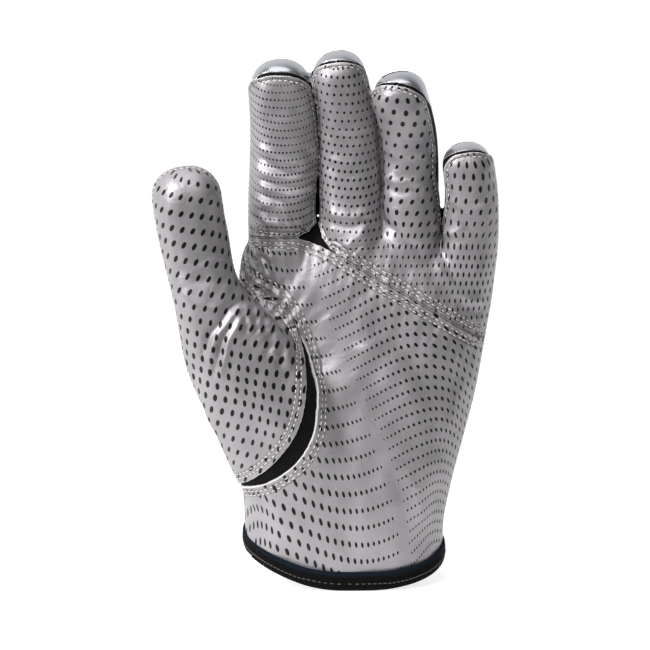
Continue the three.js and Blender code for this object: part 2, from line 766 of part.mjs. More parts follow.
addPiece("wrist_binding", loft(bindingRings(), true), tape);

export default glove;
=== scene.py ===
# %% [markdown]
# # A receiver glove, dressed
# A receiver glove is thin grip leather sewn to a black stretch knit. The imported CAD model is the
# frame: it fixes where every panel lies. This script models one smooth hand form, chalks the seams
# on it, cuts it along the chalk into the real panels, pulls folds into them, and then sews, prints
# and binds them.

# %% Frame and tools
import math
import time
from collections import namedtuple

import bmesh
import bpy
import numpy as np
from mathutils import Matrix, Vector
from mathutils.bvhtree import BVHTree
from mathutils.kdtree import KDTree


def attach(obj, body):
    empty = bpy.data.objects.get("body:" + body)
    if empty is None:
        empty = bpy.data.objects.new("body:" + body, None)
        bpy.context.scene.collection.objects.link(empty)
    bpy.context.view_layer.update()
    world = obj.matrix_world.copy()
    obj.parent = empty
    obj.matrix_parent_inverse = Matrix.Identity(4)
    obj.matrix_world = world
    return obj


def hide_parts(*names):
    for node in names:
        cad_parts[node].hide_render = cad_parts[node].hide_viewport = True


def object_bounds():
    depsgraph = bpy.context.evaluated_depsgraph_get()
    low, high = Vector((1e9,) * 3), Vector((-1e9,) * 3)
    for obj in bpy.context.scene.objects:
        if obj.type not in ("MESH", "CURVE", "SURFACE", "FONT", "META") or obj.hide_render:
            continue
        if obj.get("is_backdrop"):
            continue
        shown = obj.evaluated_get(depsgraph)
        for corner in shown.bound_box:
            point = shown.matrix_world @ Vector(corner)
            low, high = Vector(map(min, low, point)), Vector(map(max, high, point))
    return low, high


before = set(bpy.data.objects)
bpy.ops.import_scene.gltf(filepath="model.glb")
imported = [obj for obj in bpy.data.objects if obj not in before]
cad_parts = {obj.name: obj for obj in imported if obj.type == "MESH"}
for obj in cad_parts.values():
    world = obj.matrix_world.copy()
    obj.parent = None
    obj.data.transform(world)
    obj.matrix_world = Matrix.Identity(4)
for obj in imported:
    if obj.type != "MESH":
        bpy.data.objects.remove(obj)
cad_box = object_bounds()
clock = time.time()
MM = 0.001


def lap(what):
    print(f"{time.time() - clock:6.1f} s  {what}")


lap(f"{len(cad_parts)} CAD nodes")
scene = bpy.context.scene


def add_object(name, data):
    item = bpy.data.objects.new(name, data)
    scene.collection.objects.link(item)
    return item


def add_mesh(name, bm, *materials):
    """An object made of a bmesh, shaded smooth, with these materials. The bmesh is used up."""
    for face in bm.faces:
        face.smooth = True
    mesh = bpy.data.meshes.new(name)
    bm.to_mesh(mesh)
    bm.free()
    for material in materials:
        mesh.materials.append(material)
    return add_object(name, mesh)


# %% [markdown]
# ## Driving sizes
# The form follows the same tables as the CAD solids: shares of the knuckle width, of the wrist's
# depth and of the glove's length. X runs from the thumb to the little finger, Y from the palm to
# the back, Z from the wrist up.

# %% Driving sizes
HAND_WIDTH = 93 * MM
HAND_LENGTH = 191 * MM
HAND_DEPTH = 48 * MM
FINGER_BREADTH = 23 * MM
SCALE = np.array([HAND_WIDTH, HAND_DEPTH, HAND_LENGTH])
STRIP_WIDTH = 7 * MM  # a fourchette, the strip along the side of a finger
CAP_WIDTH = 13 * MM
HEM_DIP = 7.6 * MM
HEM_RISE = 5.2 * MM
HEM_REACH = 40 * MM
HAND_CORNER = 2.5  # 2 is an ellipse, more is squarer
FINGER_CORNER = 2.3
TIP_CORNER = 2.3

# %% Table of the hand
Section = namedtuple("Section", "up centre half palm back fall")
hand_sections = [
    Section(-0.1, 0.009, 0.392, 0.50, 0.50, 0.0),
    Section(0.0, 0.009, 0.392, 0.50, 0.50, 0.0),
    Section(0.075, 0.009, 0.396, 0.51, 0.48, 0.0),
    Section(0.15, 0.019, 0.416, 0.50, 0.43, 0.0),
    Section(0.236, 0.042, 0.438, 0.47, 0.38, 0.0),
    Section(0.327, 0.063, 0.463, 0.43, 0.35, 0.0),
    Section(0.435, 0.08, 0.484, 0.36, 0.32, 0.0),
    Section(0.54, 0.094, 0.502, 0.31, 0.29, 0.0),
    Section(0.6, 0.106, 0.492, 0.25, 0.24, 0.015),
    Section(0.655, 0.106, 0.43, 0.17, 0.17, 0.05),
]

# %% Tables of the fingers
Station = namedtuple("Station", "side deep up wide thick")
Finger = namedtuple("Finger", "name roll free turn line")
fingers = [
    Finger("index", 4, 0.68, 0.5, [
        Station(-0.225, 0.0, 0.51, 1.06, 1.14),
        Station(-0.234, -0.03, 0.67, 1.06, 1.06),
        Station(-0.227, -0.10, 0.84, 1.04, 0.94),
        Station(-0.248, -0.34, 0.965, 0.94, 0.82),
    ]),
    Finger("middle", 0, 0.69, 0.35, [
        Station(0.05, 0.0, 0.51, 1.02, 1.16),
        Station(0.034, -0.03, 0.68, 0.99, 1.08),
        Station(0.02, -0.11, 0.86, 0.92, 0.94),
        Station(-0.031, -0.35, 0.979, 0.83, 0.82),
    ]),
    Finger("ring", 24, 0.69, 0.48, [
        Station(0.265, 0.0, 0.5, 0.96, 1.12),
        Station(0.27, -0.04, 0.67, 0.91, 1.04),
        Station(0.264, -0.14, 0.82, 0.88, 0.92),
        Station(0.2, -0.45, 0.938, 0.86, 0.8),
    ]),
    Finger("little", -9, 0.635, 0.28, [
        Station(0.42, 0.0, 0.43, 0.86, 1.0),
        Station(0.498, -0.05, 0.6, 0.89, 0.98),
        Station(0.501, -0.17, 0.71, 0.83, 0.86),
        Station(0.468, -0.35, 0.809, 0.78, 0.76),
    ]),
]

# %% Table of the thumb
thumb = Finger("thumb", 0, 0, 0, [
    Station(-0.1, -0.06, 0.03, 1.3, 1.1),
    Station(-0.186, -0.23, 0.19, 1.89, 1.28),
    Station(-0.284, -0.31, 0.31, 1.92, 1.32),
    Station(-0.434, -0.36, 0.43, 1.55, 1.2),
    Station(-0.525, -0.38, 0.53, 1.06, 1.04),
    Station(-0.582, -0.41, 0.655, 1.05, 0.98),
    Station(-0.612, -0.5, 0.772, 1.05, 0.9),
])

# %% [markdown]
# ## Camera, floor and light
# The photograph is a straight product shot: a long lens a little above the palm, white all round.
# One pixel of its 650 is 0.37 mm at the glove, which fixes the lens. The floor is a wide pale
# sheet whose far edge meets a white world, so no horizon shows. The room in front of the glove is
# white to look at but gives little light, so that black stays black.

# %% Camera
PIXEL = 0.37 * MM
FRAME_PIXELS = 650
MIDDLE_COLUMN = 342  # the photograph's column over the origin
RIM_ROW = 560  # and its row at the rim's height
DISTANCE = 0.85
ELEVATION = math.radians(8)
HALF_FRAME = FRAME_PIXELS / 2
aim = Vector(((HALF_FRAME - MIDDLE_COLUMN) * PIXEL, 0, (RIM_ROW - HALF_FRAME) * PIXEL))
camera = add_object("camera", bpy.data.cameras.new("camera"))
camera.data.sensor_width = 36
camera.data.lens = camera.data.sensor_width * DISTANCE / (FRAME_PIXELS * PIXEL)
camera.location = aim + DISTANCE * Vector((0, -math.cos(ELEVATION), math.sin(ELEVATION)))
camera.rotation_euler = (math.pi / 2 - ELEVATION, 0, 0)
scene.camera = camera
scene.view_settings.view_transform = "Standard"
print(f"lens {camera.data.lens:.0f} mm")


# %% Colours and the node helper
def linear(hex_colour):
    """An sRGB hex colour as the linear values that Blender's sockets take."""
    parts = [int(hex_colour[i : i + 2], 16) / 255 for i in (1, 3, 5)]
    return tuple(p / 12.92 if p <= 0.04045 else ((p + 0.055) / 1.055) ** 2.4 for p in parts) + (1,)


def add_node(tree, kind, settings=None, links=None):
    """Adds a node. settings name its properties or inputs, links say which sockets feed inputs."""
    node = tree.nodes.new("ShaderNode" + kind)
    for name, value in (settings or {}).items():
        if isinstance(name, int) or name in node.inputs:
            node.inputs[name].default_value = value
        else:
            setattr(node, name, value)
    for name, socket in (links or {}).items():
        tree.links.new(socket, node.inputs[name])
    return node


def set_or_link(tree, socket, value):
    """Feeds a socket from another socket, or gives it a constant."""
    if isinstance(value, bpy.types.NodeSocket):
        tree.links.new(value, socket)
    else:
        socket.default_value = value


def plain_material(name, colour, roughness):
    return new_material(name, Base_Color=linear(colour), Roughness=roughness)[0]


def new_material(name, **settings):
    """A material with one Principled shader, whose constants are set on its own sockets."""
    material = bpy.data.materials.new(name)
    material.use_nodes = True
    shader = material.node_tree.nodes["Principled BSDF"]
    for socket, value in settings.items():
        shader.inputs[socket.replace("_", " ")].default_value = value
    return material, material.node_tree, shader


# %% Floor
FLOOR_GAP = 0.3 * MM
FLOOR_FRONT, FLOOR_BACK, FLOOR_HALF = -0.14, 6.0, 1.1  # the front edge lies just out of the picture
floor_size = Matrix.Diagonal((FLOOR_HALF, (FLOOR_BACK - FLOOR_FRONT) / 2, 1, 1))
floor_place = (0, (FLOOR_BACK + FLOOR_FRONT) / 2, cad_box[0][2] - FLOOR_GAP)
floor_form = bmesh.new()
bmesh.ops.create_grid(
    floor_form, x_segments=2, y_segments=2, size=1,
    matrix=Matrix.Translation(floor_place) @ floor_size,
)
paper, _, _ = new_material(
    "lit_studio_acrylic", Base_Color=linear("#B4B4B4"), Roughness=0.95,
    Emission_Color=(1, 1, 1, 1), Emission_Strength=0.8,
)
add_mesh("floor", floor_form, paper)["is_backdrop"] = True

# %% World and lamps
BEHIND, AROUND = 1.12, 0.08  # brightness of the white wall behind the glove, and of the dim room
world = bpy.data.worlds.new("studio")
world.use_nodes = True
scene.world = world
tree = world.node_tree
direction = add_node(tree, "TexCoord").outputs["Generated"]
depth = add_node(tree, "SeparateXYZ", links={0: direction}).outputs["Y"]
wall = add_node(
    tree, "MapRange", {"From Min": 0.1, "From Max": 0.5, "To Min": AROUND, "To Max": BEHIND},
    {"Value": depth},
)
seen = add_node(tree, "LightPath").outputs["Is Camera Ray"]
white = add_node(
    tree, "Math", {"operation": "MULTIPLY_ADD", 1: BEHIND}, {0: seen, 2: wall.outputs["Result"]}
)
backdrop = tree.nodes["Background"]
tree.links.new(white.outputs[0], backdrop.inputs["Strength"])
backdrop.inputs["Color"].default_value = (1, 1, 1, 1)


def softbox(name, place, aim_at, size, power):
    light = add_object(name, bpy.data.lights.new(name, "AREA"))
    light.data.shape = "RECTANGLE"
    light.data.size, light.data.size_y = size
    light.data.energy = power
    light.location = place
    light.rotation_euler = (Vector(aim_at) - Vector(place)).to_track_quat("-Z", "Y").to_euler()


softbox("left_box", (-0.7, -0.45, 0.5), (-0.02, 0, 0.14), (0.2, 0.5), 9)
softbox("key_box", (-0.3, -0.7, 0.65), (-0.01, 0, 0.15), (0.35, 0.3), 3.8)
softbox("top_box", (-0.1, -0.2, 1.0), (0, 0, 0.1), (0.8, 0.5), 3.5)


# %% [markdown]
# ## Smooth tables
# A table of a few rows becomes a smooth curve through them, the way a pattern cutter's spline
# runs through marked points. `squared` gives the squarish ring that a palm's section has.


# %% Curve helpers
def smooth_curve(keys, values):
    """Values along a table as a smooth curve through its rows."""
    keys, values = np.asarray(keys, float), np.asarray(values, float)
    slopes = np.gradient(values, keys, axis=0)

    def at(where):
        where = np.asarray(where, float)
        i = np.clip(np.searchsorted(keys, where, side="right") - 1, 0, len(keys) - 2)
        step = (keys[i + 1] - keys[i])[..., None]
        t = np.clip((where - keys[i])[..., None] / step, 0, 1)
        start, end = values[i], values[i + 1]
        ease = 3 * t**2 - 2 * t**3
        bend = slopes[i] * (t**3 - 2 * t**2 + t) + slopes[i + 1] * (t**3 - t**2)
        return start + (end - start) * ease + bend * step

    return at


# %% Lines and rings
def travel_along(points):
    """How far along a line of points each of them lies."""
    return np.concatenate([[0], np.cumsum(np.linalg.norm(np.diff(points, axis=0), axis=1))])


def smooth_path(points, steps):
    """A smooth line through a few points, with so many steps between two of them."""
    points = np.asarray(points, float)
    keys = travel_along(points)
    return smooth_curve(keys, points)(np.linspace(0, keys[-1], steps * (len(points) - 1) + 1))


def smoothstep(x, low, high):
    t = np.clip((np.asarray(x, float) - low) / (high - low), 0, 1)
    return t * t * (3 - 2 * t)


def taper(share, run):
    """0 at both ends of a line, rising to 1 over a run of it."""
    return smoothstep(share, 0, run) * (1 - smoothstep(share, 1 - run, 1))


def squared(angle, corner):
    """Cosine and sine of a squared circle: 2 is round, more is squarer."""
    c, s = np.cos(angle), np.sin(angle)
    power = 2 / corner
    return np.sign(c) * np.abs(c) ** power, np.sign(s) * np.abs(s) ** power


def wrap_grid(bm, around, along, shape):
    """A grid wrapped into a closed form; shape gives its points from shares around and along."""
    made = bmesh.ops.create_grid(bm, x_segments=around, y_segments=along, size=1)["verts"]
    shares = np.array([v.co[:2] for v in made]) / 2 + 0.5
    for vert, point in zip(made, shape(shares[:, 0], shares[:, 1])):
        vert.co = point
    bmesh.ops.remove_doubles(bm, verts=made, dist=1e-6)


# %% [markdown]
# ## The hand form
# A glove takes its form from the hand inside. Six closed lofts, a palm, four fingers and a thumb,
# overlap like clay rolls. A voxel remesh melts them into one even skin, and rounds of smoothing,
# stronger in the crotches between the fingers, take the seams of the clay away.

# %% The palm's loft
section_at = smooth_curve([s.up for s in hand_sections], [s[1:] for s in hand_sections])
WRIST_HALF = hand_sections[1].half * HAND_WIDTH
WRIST_CENTRE = hand_sections[1].centre * HAND_WIDTH
HAND_FOOT = -0.1
HAND_TOP = 0.665
LAST_SECTION = hand_sections[-1].up
CROWN = 0.05  # of the length, over which the loft's top closes
FOOT_SHARE = 0.01  # of a loft's rows, over which its foot closes
KNUCKLE_FALL = (0.12 * HAND_WIDTH, 0.42 * HAND_WIDTH)  # towards the little finger


def hem_shift(x, y, z):
    """How far the wrist edge hangs lower on the palm and higher on the thumb's side."""
    _, _, palm, _, _ = section_at(z / HAND_LENGTH).T
    front = np.clip(-y / (palm * HAND_DEPTH), 0, 1)
    thumbward = smoothstep(-x, 0, WRIST_HALF)
    fade = 1 - smoothstep(z, 0, HEM_REACH)
    return fade * (HEM_RISE * thumbward - HEM_DIP * front**1.5)


def hand_shape(around, along):
    up = HAND_FOOT + (HAND_TOP - HAND_FOOT) * along
    centre, half, palm, back, fall = section_at(np.minimum(up, LAST_SECTION)).T
    into_crown = np.clip((up - HAND_TOP + CROWN) / CROWN, 0, 1)
    close = np.sqrt(1 - into_crown**2) * np.sqrt(np.clip(along / FOOT_SHARE, 0, 1))
    across, depth = squared(2 * np.pi * around, HAND_CORNER)
    x = HAND_WIDTH * (centre + half * across * close)
    y = HAND_DEPTH * depth * np.where(depth < 0, palm, back) * close
    drop = fall * smoothstep(x, *KNUCKLE_FALL)
    return np.column_stack([x, y, HAND_LENGTH * (up - drop)])


# %% A finger's loft
SHAFT_SHARE = 0.7  # of a finger's rows; the rest round its tip
ROOT_SHARE = 0.02  # of its rows, over which its root closes inside the palm
NUDGE = 0.01  # to both sides, for the direction of its line


def finger_curve(finger):
    rows = np.array(finger.line, float)
    points = rows[:, :3] * SCALE
    sizes = rows[:, 3:] * FINGER_BREADTH / 2
    keys = travel_along(points)
    return smooth_curve(keys / keys[-1], np.hstack([points, sizes])), keys[-1]


def finger_shape(finger):
    curve, length = finger_curve(finger)
    dome = finger.line[-1].wide * FINGER_BREADTH * 0.5 / length

    def shape(around, along):
        turn = np.clip((along - SHAFT_SHARE) / (1 - SHAFT_SHARE), 0, 1) * np.pi / 2
        inward, upward = squared(turn, TIP_CORNER)
        size = inward * np.sqrt(np.clip(along / ROOT_SHARE, 0, 1))
        t = np.minimum(along / SHAFT_SHARE, 1) * (1 - dome) + dome * upward
        here = curve(t)
        ahead = curve(np.minimum(t + NUDGE, 1))[:, :3] - curve(np.maximum(t - NUDGE, 0))[:, :3]
        ahead /= np.linalg.norm(ahead, axis=1)[:, None]
        u = np.array([1.0, 0, 0]) - ahead * ahead[:, :1]
        u /= np.linalg.norm(u, axis=1)[:, None]
        v = np.cross(ahead, u)
        across, depth = squared(2 * np.pi * around, FINGER_CORNER)
        sideways = u * (across * here[:, 3] * size)[:, None]
        return here[:, :3] + (sideways + v * (depth * here[:, 4] * size)[:, None])

    return shape


# %% One skin from the lofts
VOXEL = 0.8 * MM
HAND_GRID, FINGER_GRID = (96, 90), (48, 70)  # around and along
form = bmesh.new()
wrap_grid(form, *HAND_GRID, hand_shape)
for finger in [*fingers, thumb]:
    wrap_grid(form, *FINGER_GRID, finger_shape(finger))
bmesh.ops.recalc_face_normals(form, faces=form.faces)
raw_object = add_mesh("raw_form", form)
remesh = raw_object.modifiers.new("Remesh", "REMESH")
remesh.mode = "VOXEL"
remesh.voxel_size = VOXEL
melted = raw_object.evaluated_get(bpy.context.evaluated_depsgraph_get())
skin = bpy.data.meshes.new_from_object(melted)
bpy.data.objects.remove(raw_object)
lap(f"skin of {len(skin.vertices)} points")


# %% Points as arrays
def points_of(mesh):
    values = np.empty(len(mesh.vertices) * 3)
    mesh.vertices.foreach_get("co", values)
    return values.reshape(-1, 3)


def neighbour_mean(mesh):
    """A function that averages any per-point values over each point's neighbours."""
    ends = np.empty(len(mesh.edges) * 2, np.int64)
    mesh.edges.foreach_get("vertices", ends)
    a, b = ends.reshape(-1, 2).T
    size = len(mesh.vertices)
    count = np.maximum(np.bincount(ends, minlength=size), 1)[:, None]

    def mean(values):
        sums = [
            np.bincount(a, column[b], size) + np.bincount(b, column[a], size) for column in values.T
        ]
        return np.column_stack(sums) / count

    return mean


# %% Smooth the skin, and round its crotches
Crotch = namedtuple("Crotch", "side deep up reach")
crotches = [
    Crotch(-0.09, -0.03, 0.655, 7 * MM),
    Crotch(0.155, -0.03, 0.66, 7 * MM),
    Crotch(0.39, -0.05, 0.62, 7 * MM),
    Crotch(-0.41, -0.3, 0.53, 12 * MM),
    Crotch(-0.35, -0.15, 0.4, 14 * MM),
    Crotch(-0.1, -0.4, 0.3, 14 * MM),
    Crotch(-0.15, -0.4, 0.45, 14 * MM),
    Crotch(-0.25, -0.45, 0.15, 16 * MM),
    Crotch(-0.4, -0.1, 0.15, 14 * MM),
    Crotch(-0.4, 0.1, 0.3, 16 * MM),
]
SMOOTH_ROUNDS, CROTCH_ROUNDS = 8, 60
SHRINK, REGROW, CROTCH_PULL = 0.55, 0.53, 0.6  # shares of the way to the neighbours' mean
mean = neighbour_mean(skin)
points = points_of(skin)
for _ in range(SMOOTH_ROUNDS):
    points += SHRINK * (mean(points) - points)
    points -= REGROW * (mean(points) - points)
near = np.zeros(len(points))
for crotch in crotches:
    gap = np.linalg.norm(points - np.array(crotch[:3]) * SCALE, axis=1)
    near = np.maximum(near, np.exp(-((gap / crotch.reach) ** 2)))
for _ in range(CROTCH_ROUNDS):
    points += CROTCH_PULL * near[:, None] * (mean(points) - points)
skin.vertices.foreach_set("co", points.ravel())
skin.update()
lap("smoothed")

# %% Open the wrist and lower its palm side
RIM_HEIGHT = 1.2 * MM  # the panels end just above the fold of the tape
cloth = bmesh.new()
cloth.from_mesh(skin)
bmesh.ops.bisect_plane(
    cloth, geom=[*cloth.verts, *cloth.edges, *cloth.faces],
    plane_co=(0, 0, RIM_HEIGHT), plane_no=(0, 0, -1), clear_outer=True,
)
for vert, shift in zip(cloth.verts, hem_shift(*np.array([v.co for v in cloth.verts]).T)):
    vert.co.z += shift
lap(f"wrist opened, {len(cloth.verts)} points left")

# %% [markdown]
# ## Seam surfaces
# The side seam runs up the edge of the hand, out along the thumb, and along each finger, where
# it turns over the tip towards the palm. It is a depth for each place in the front view: what
# lies before it is grip leather, what lies behind it is knit.

# %% Middle lines at a height
LINE_SAMPLES = 200


def line_at_height(finger):
    curve, _ = finger_curve(finger)
    samples = curve(np.linspace(0, 1, LINE_SAMPLES))
    return lambda z: [np.interp(z, samples[:, 2], samples[:, column]) for column in (0, 1, 3)]


line_at = [line_at_height(finger) for finger in fingers]
thumb_at = line_at_height(thumb)

# %% Seam depths
CAP_DROP = 17 * MM  # how far under a fingertip its cap ends on the back
TIP_STRIP_WIDTH = 3 * MM
TIP_SEAM_SLOPE = 1.45
TIP_SEAM_RUN = 3 * MM
THUMB_SEAM_LEAD = 1.5 * MM
ROOT_SEAM_DEPTH = -0.055 * HAND_DEPTH
ROOT_SEAM_RUN = (0.5 * HAND_LENGTH, 0.72 * HAND_LENGTH)
THUMB_SEAM_RUN = (0.1 * HAND_LENGTH, 0.33 * HAND_LENGTH)
BORDER_STOP = 0.2 * FINGER_BREADTH  # under the lower of two fingertips
LOOSE_RUN = 2 * STRIP_WIDTH
THUMB_EDGE = -0.385 * HAND_WIDTH
THUMB_GAP = -0.418 * HAND_WIDTH
FINGER_FOOT = 0.6 * HAND_LENGTH
CROTCH_FOOT = 0.56 * HAND_LENGTH
tip_heights = [finger.line[-1].up * HAND_LENGTH for finger in fingers]
turn_heights = [h - f.turn * FINGER_BREADTH for h, f in zip(tip_heights, fingers)]


def root_seam(z):
    return ROOT_SEAM_DEPTH * smoothstep(z, *ROOT_SEAM_RUN)


# %% The seam of a finger, and of the hand
def finger_seam(index, x, z):
    finger, turn = fingers[index], turn_heights[index]
    free = finger.free * HAND_LENGTH
    line_x, line_y, _ = line_at[index](np.minimum(z, turn))
    loose = smoothstep(z, free, free + LOOSE_RUN)
    depth = root_seam(z) + loose * (line_y - root_seam(z))
    roll = math.tan(math.radians(finger.roll))
    return depth - loose * roll * (x - line_x) - TIP_SEAM_SLOPE * np.maximum(0, z - turn)


def hand_seam(x, z):
    share = smoothstep(-x, -THUMB_EDGE, -THUMB_EDGE + STRIP_WIDTH)
    rise = smoothstep(z, *THUMB_SEAM_RUN)
    thumb_depth = root_seam(z) + rise * (thumb_at(z)[1] - THUMB_SEAM_LEAD - root_seam(z))
    return root_seam(z) + share * (thumb_depth - root_seam(z))


def border(index, z):
    """Halfway across the gap between a finger and the next."""
    height = np.minimum(z, min(tip_heights[index : index + 2]) - BORDER_STOP)
    x0, _, half0 = line_at[index](height)
    x1, _, half1 = line_at[index + 1](height)
    return (x0 + half0 + x1 - half1) / 2


def finger_number(x, z):
    """0 to 3 in a finger's space, from the index to the little finger, and -1 on the hand."""
    number = sum((x > border(i, z)).astype(int) for i in range(3))
    return np.where((z > FINGER_FOOT) & (x > THUMB_GAP), number, -1)


def seam_depth(x, z, number):
    depth = hand_seam(x, z)
    for i in range(4):
        depth = np.where(number == i, finger_seam(i, x, z), depth)
    return depth


# %% [markdown]
# ## Chalk lines on the palm side
# The pattern pieces of the palm are outlines in the front view. Each is a short list of marked
# points, as shares of the width and the length, with a smooth line drawn through them.

# %% Chalk lines
LINE_STEPS = 8


def chalk_line(marks):
    return smooth_path(np.array(marks) * [HAND_WIDTH, HAND_LENGTH], LINE_STEPS)


web_line = chalk_line([
    (-0.418, 0.62), (-0.4, 0.576), (-0.36, 0.55), (-0.26, 0.523), (-0.205, 0.492), (-0.167, 0.451),
])
gusset_inner = chalk_line([
    (-0.167, 0.451), (-0.148, 0.41), (-0.142, 0.36), (-0.154, 0.31), (-0.192, 0.259),
    (-0.26, 0.214), (-0.355, 0.174), (-0.45, 0.147),
])
gusset_outer = chalk_line([
    (-0.167, 0.451), (-0.128, 0.41), (-0.104, 0.36), (-0.1, 0.31), (-0.118, 0.262),
    (-0.165, 0.218), (-0.24, 0.184), (-0.34, 0.16), (-0.45, 0.147),
])
knuckle_left = chalk_line([(-0.418, 0.63), (-0.3, 0.632), (-0.179, 0.632)])
knuckle_gore = chalk_line([(-0.179, 0.632), (-0.107, 0.619), (-0.028, 0.602)])
knuckle_right = chalk_line([
    (-0.028, 0.602), (0.1, 0.564), (0.24, 0.526), (0.382, 0.484), (0.529, 0.441), (0.66, 0.42),
])
index_foot = chalk_line([(-0.179, 0.632), (-0.135, 0.64), (-0.095, 0.66)])
finger_edge = chalk_line([(-0.095, 0.66), (-0.072, 0.626), (-0.028, 0.602)])

# %% Outlines of the pattern pieces
FAR = 3 * HAND_LENGTH
GAP_FOOT, GAP_TOP, GAP_STEPS = 0.665 * HAND_LENGTH, 1.1 * HAND_LENGTH, 20
gap_heights = np.linspace(GAP_FOOT, GAP_TOP, GAP_STEPS)
gap_line = np.column_stack([border(0, gap_heights), gap_heights])


def outline(*runs):
    return np.vstack([np.atleast_2d(run) for run in runs])


outlines = {
    "thumb_panel": outline(
        (web_line[0][0], FAR), web_line, gusset_inner, (-FAR, gusset_inner[-1][1]), (-FAR, FAR)
    ),
    "thumb_gusset": outline(gusset_inner, gusset_outer[::-1]),
    "index_panel": outline(
        knuckle_left, index_foot, gap_line, (gap_line[-1][0], FAR), (knuckle_left[0][0], FAR)
    ),
    "fourchette_index_middle": outline(index_foot, finger_edge, knuckle_gore[::-1]),
    "finger_panel": outline(
        (gap_line[-1][0], FAR), gap_line[::-1], finger_edge, knuckle_right,
        (FAR, knuckle_right[-1][1]), (FAR, FAR),
    ),
}


def inside(shape, x, z):
    """Even-odd test: does a ray to the right cross the outline an odd number of times?"""
    crossings = np.zeros(len(x), int)
    for (x0, z0), (x1, z1) in zip(shape, np.roll(shape, -1, axis=0)):
        if z0 != z1:
            spans = (z0 > z) != (z1 > z)
            crossings += spans & (x < x0 + (z - z0) / (z1 - z0) * (x1 - x0))
    return crossings % 2 == 1


# %% [markdown]
# ## Which panel is a point on?
# One function answers for any point of the skin. The chalk then needs no drawing of its own:
# wherever the answer changes along an edge of the mesh, a seam crosses it.

# %% Panel names and the strips beside the fingers
panel_names = [
    "palm_panel", "index_panel", "finger_panel", "thumb_panel", "thumb_gusset", "back_panel",
    "fourchette_index_middle", "fourchette_middle_ring", "fourchette_ring_little",
    "tip_cap_index", "tip_cap_middle", "tip_cap_ring", "tip_cap_little", "tip_cap_thumb",
]
PALM, BACK = panel_names.index("palm_panel"), panel_names.index("back_panel")
FIRST_FOURCHETTE = panel_names.index("fourchette_index_middle")
FIRST_CAP = panel_names.index("tip_cap_index")
THUMB_CAP = panel_names.index("tip_cap_thumb")
THUMB_CAP_FOOT = 0.63 * HAND_LENGTH
TONGUE_PART = 0.5
TONGUE_RISE = 3.5 * MM
OVER_TIP = 0.36 * FINGER_BREADTH


def strip_number(x, z, number):
    """The fourchette whose width covers this side of a finger, or -1."""
    strip = np.full(len(x), -1)
    for i in range(4):
        over = OVER_TIP * np.clip((z - turn_heights[i]) / TIP_SEAM_RUN, 0, 1)
        middle = line_at[i](z)[0]
        on = number == i
        if i < 3:
            strip[on & (x > middle - (over if i == 0 else 0))] = i
        if i > 0:
            strip[on & (x < middle + (over if i == 3 else 0))] = i - 1
    for i in range(3):
        left, right = line_at[i](FINGER_FOOT)[0], line_at[i + 1](FINGER_FOOT)[0]
        strip[(number < 0) & (z > CROTCH_FOOT) & (x > left) & (x < right)] = i
    return strip


# %% The panel of a point
def panel_at(where):
    x, y, z = where.T
    number = finger_number(x, z)
    strip = strip_number(x, z, number)
    behind = y - seam_depth(x, z, number)
    half = np.where(strip >= 0, STRIP_WIDTH / 2, 0)
    for i, turn in enumerate(turn_heights):
        narrow = smoothstep(z, turn, turn + TIP_SEAM_RUN) * (STRIP_WIDTH - TIP_STRIP_WIDTH) / 2
        half = half - np.where((number == i) & (strip >= 0), narrow, 0)
    panel = np.full(len(x), PALM)
    for name, shape in outlines.items():
        panel[inside(shape, x, z)] = panel_names.index(name)
    rear = behind > half
    panel[rear] = BACK
    for i, finger in enumerate(fingers):
        tip = finger.line[-1]
        half_tongue = TONGUE_PART * tip.wide * FINGER_BREADTH / 2
        tongue = np.abs(x - tip.side * HAND_WIDTH) < half_tongue
        tongue &= y > tip.deep * HAND_DEPTH + TONGUE_RISE
        over_foot = (number == i) & (z > tip_heights[i] - CAP_DROP)
        near_tip = over_foot & (behind < STRIP_WIDTH / 2 + CAP_WIDTH)
        panel[rear & near_tip & ~tongue] = FIRST_CAP + i
    panel[(behind > 0) & (number < 0) & (x < THUMB_GAP) & (z > THUMB_CAP_FOOT)] = THUMB_CAP
    on_strip = (strip >= 0) & (np.abs(behind) <= half)
    panel[on_strip] = FIRST_FOURCHETTE + strip[on_strip]
    return panel


# %% [markdown]
# ## Cutting along the chalk
# Where an edge's ends lie on different panels, halving the edge again and again finds the seam.
# The edge is split there, or its end is slid onto the seam if it is close, and then every face
# with two seam points is split between them.

# %% Cut
SLIDE_SHARE = 0.18
HALVINGS = 12


def cut_along_chalk(bm):
    bm.verts.ensure_lookup_table()
    bm.verts.index_update()
    where = np.array([v.co for v in bm.verts])
    label = panel_at(where)
    edges = [e for e in bm.edges if label[e.verts[0].index] != label[e.verts[1].index]]
    ends = np.array([[v.index for v in e.verts] for e in edges])
    low, high = np.zeros(len(edges)), np.ones(len(edges))
    start, span = where[ends[:, 0]], where[ends[:, 1]] - where[ends[:, 0]]
    for _ in range(HALVINGS):
        middle = (low + high) / 2
        same = panel_at(start + span * middle[:, None]) == label[ends[:, 0]]
        low, high = np.where(same, middle, low), np.where(same, high, middle)
    on_seam = set()
    for edge, t in zip(edges, (low + high) / 2):
        for vert, share in ((edge.verts[0], t), (edge.verts[1], 1 - t)):
            if share < SLIDE_SHARE and vert not in on_seam:
                vert.co = vert.co.lerp(edge.other_vert(vert).co, share)
                on_seam.add(vert)
                break
    for edge, t in zip(edges, (low + high) / 2):
        if not on_seam.isdisjoint(edge.verts):
            continue
        _, vert = bmesh.utils.edge_split(edge, edge.verts[0], t)
        on_seam.add(vert)
    for face in {f for v in on_seam for f in v.link_faces}:
        ring = [v for v in face.verts if v in on_seam]
        for a, b in zip(ring, ring[1:]):
            if face.is_valid and a in face.verts and b in face.verts:
                if not any(b in e.verts for e in a.link_edges if e in face.edges):
                    bmesh.utils.face_split(face, a, b)


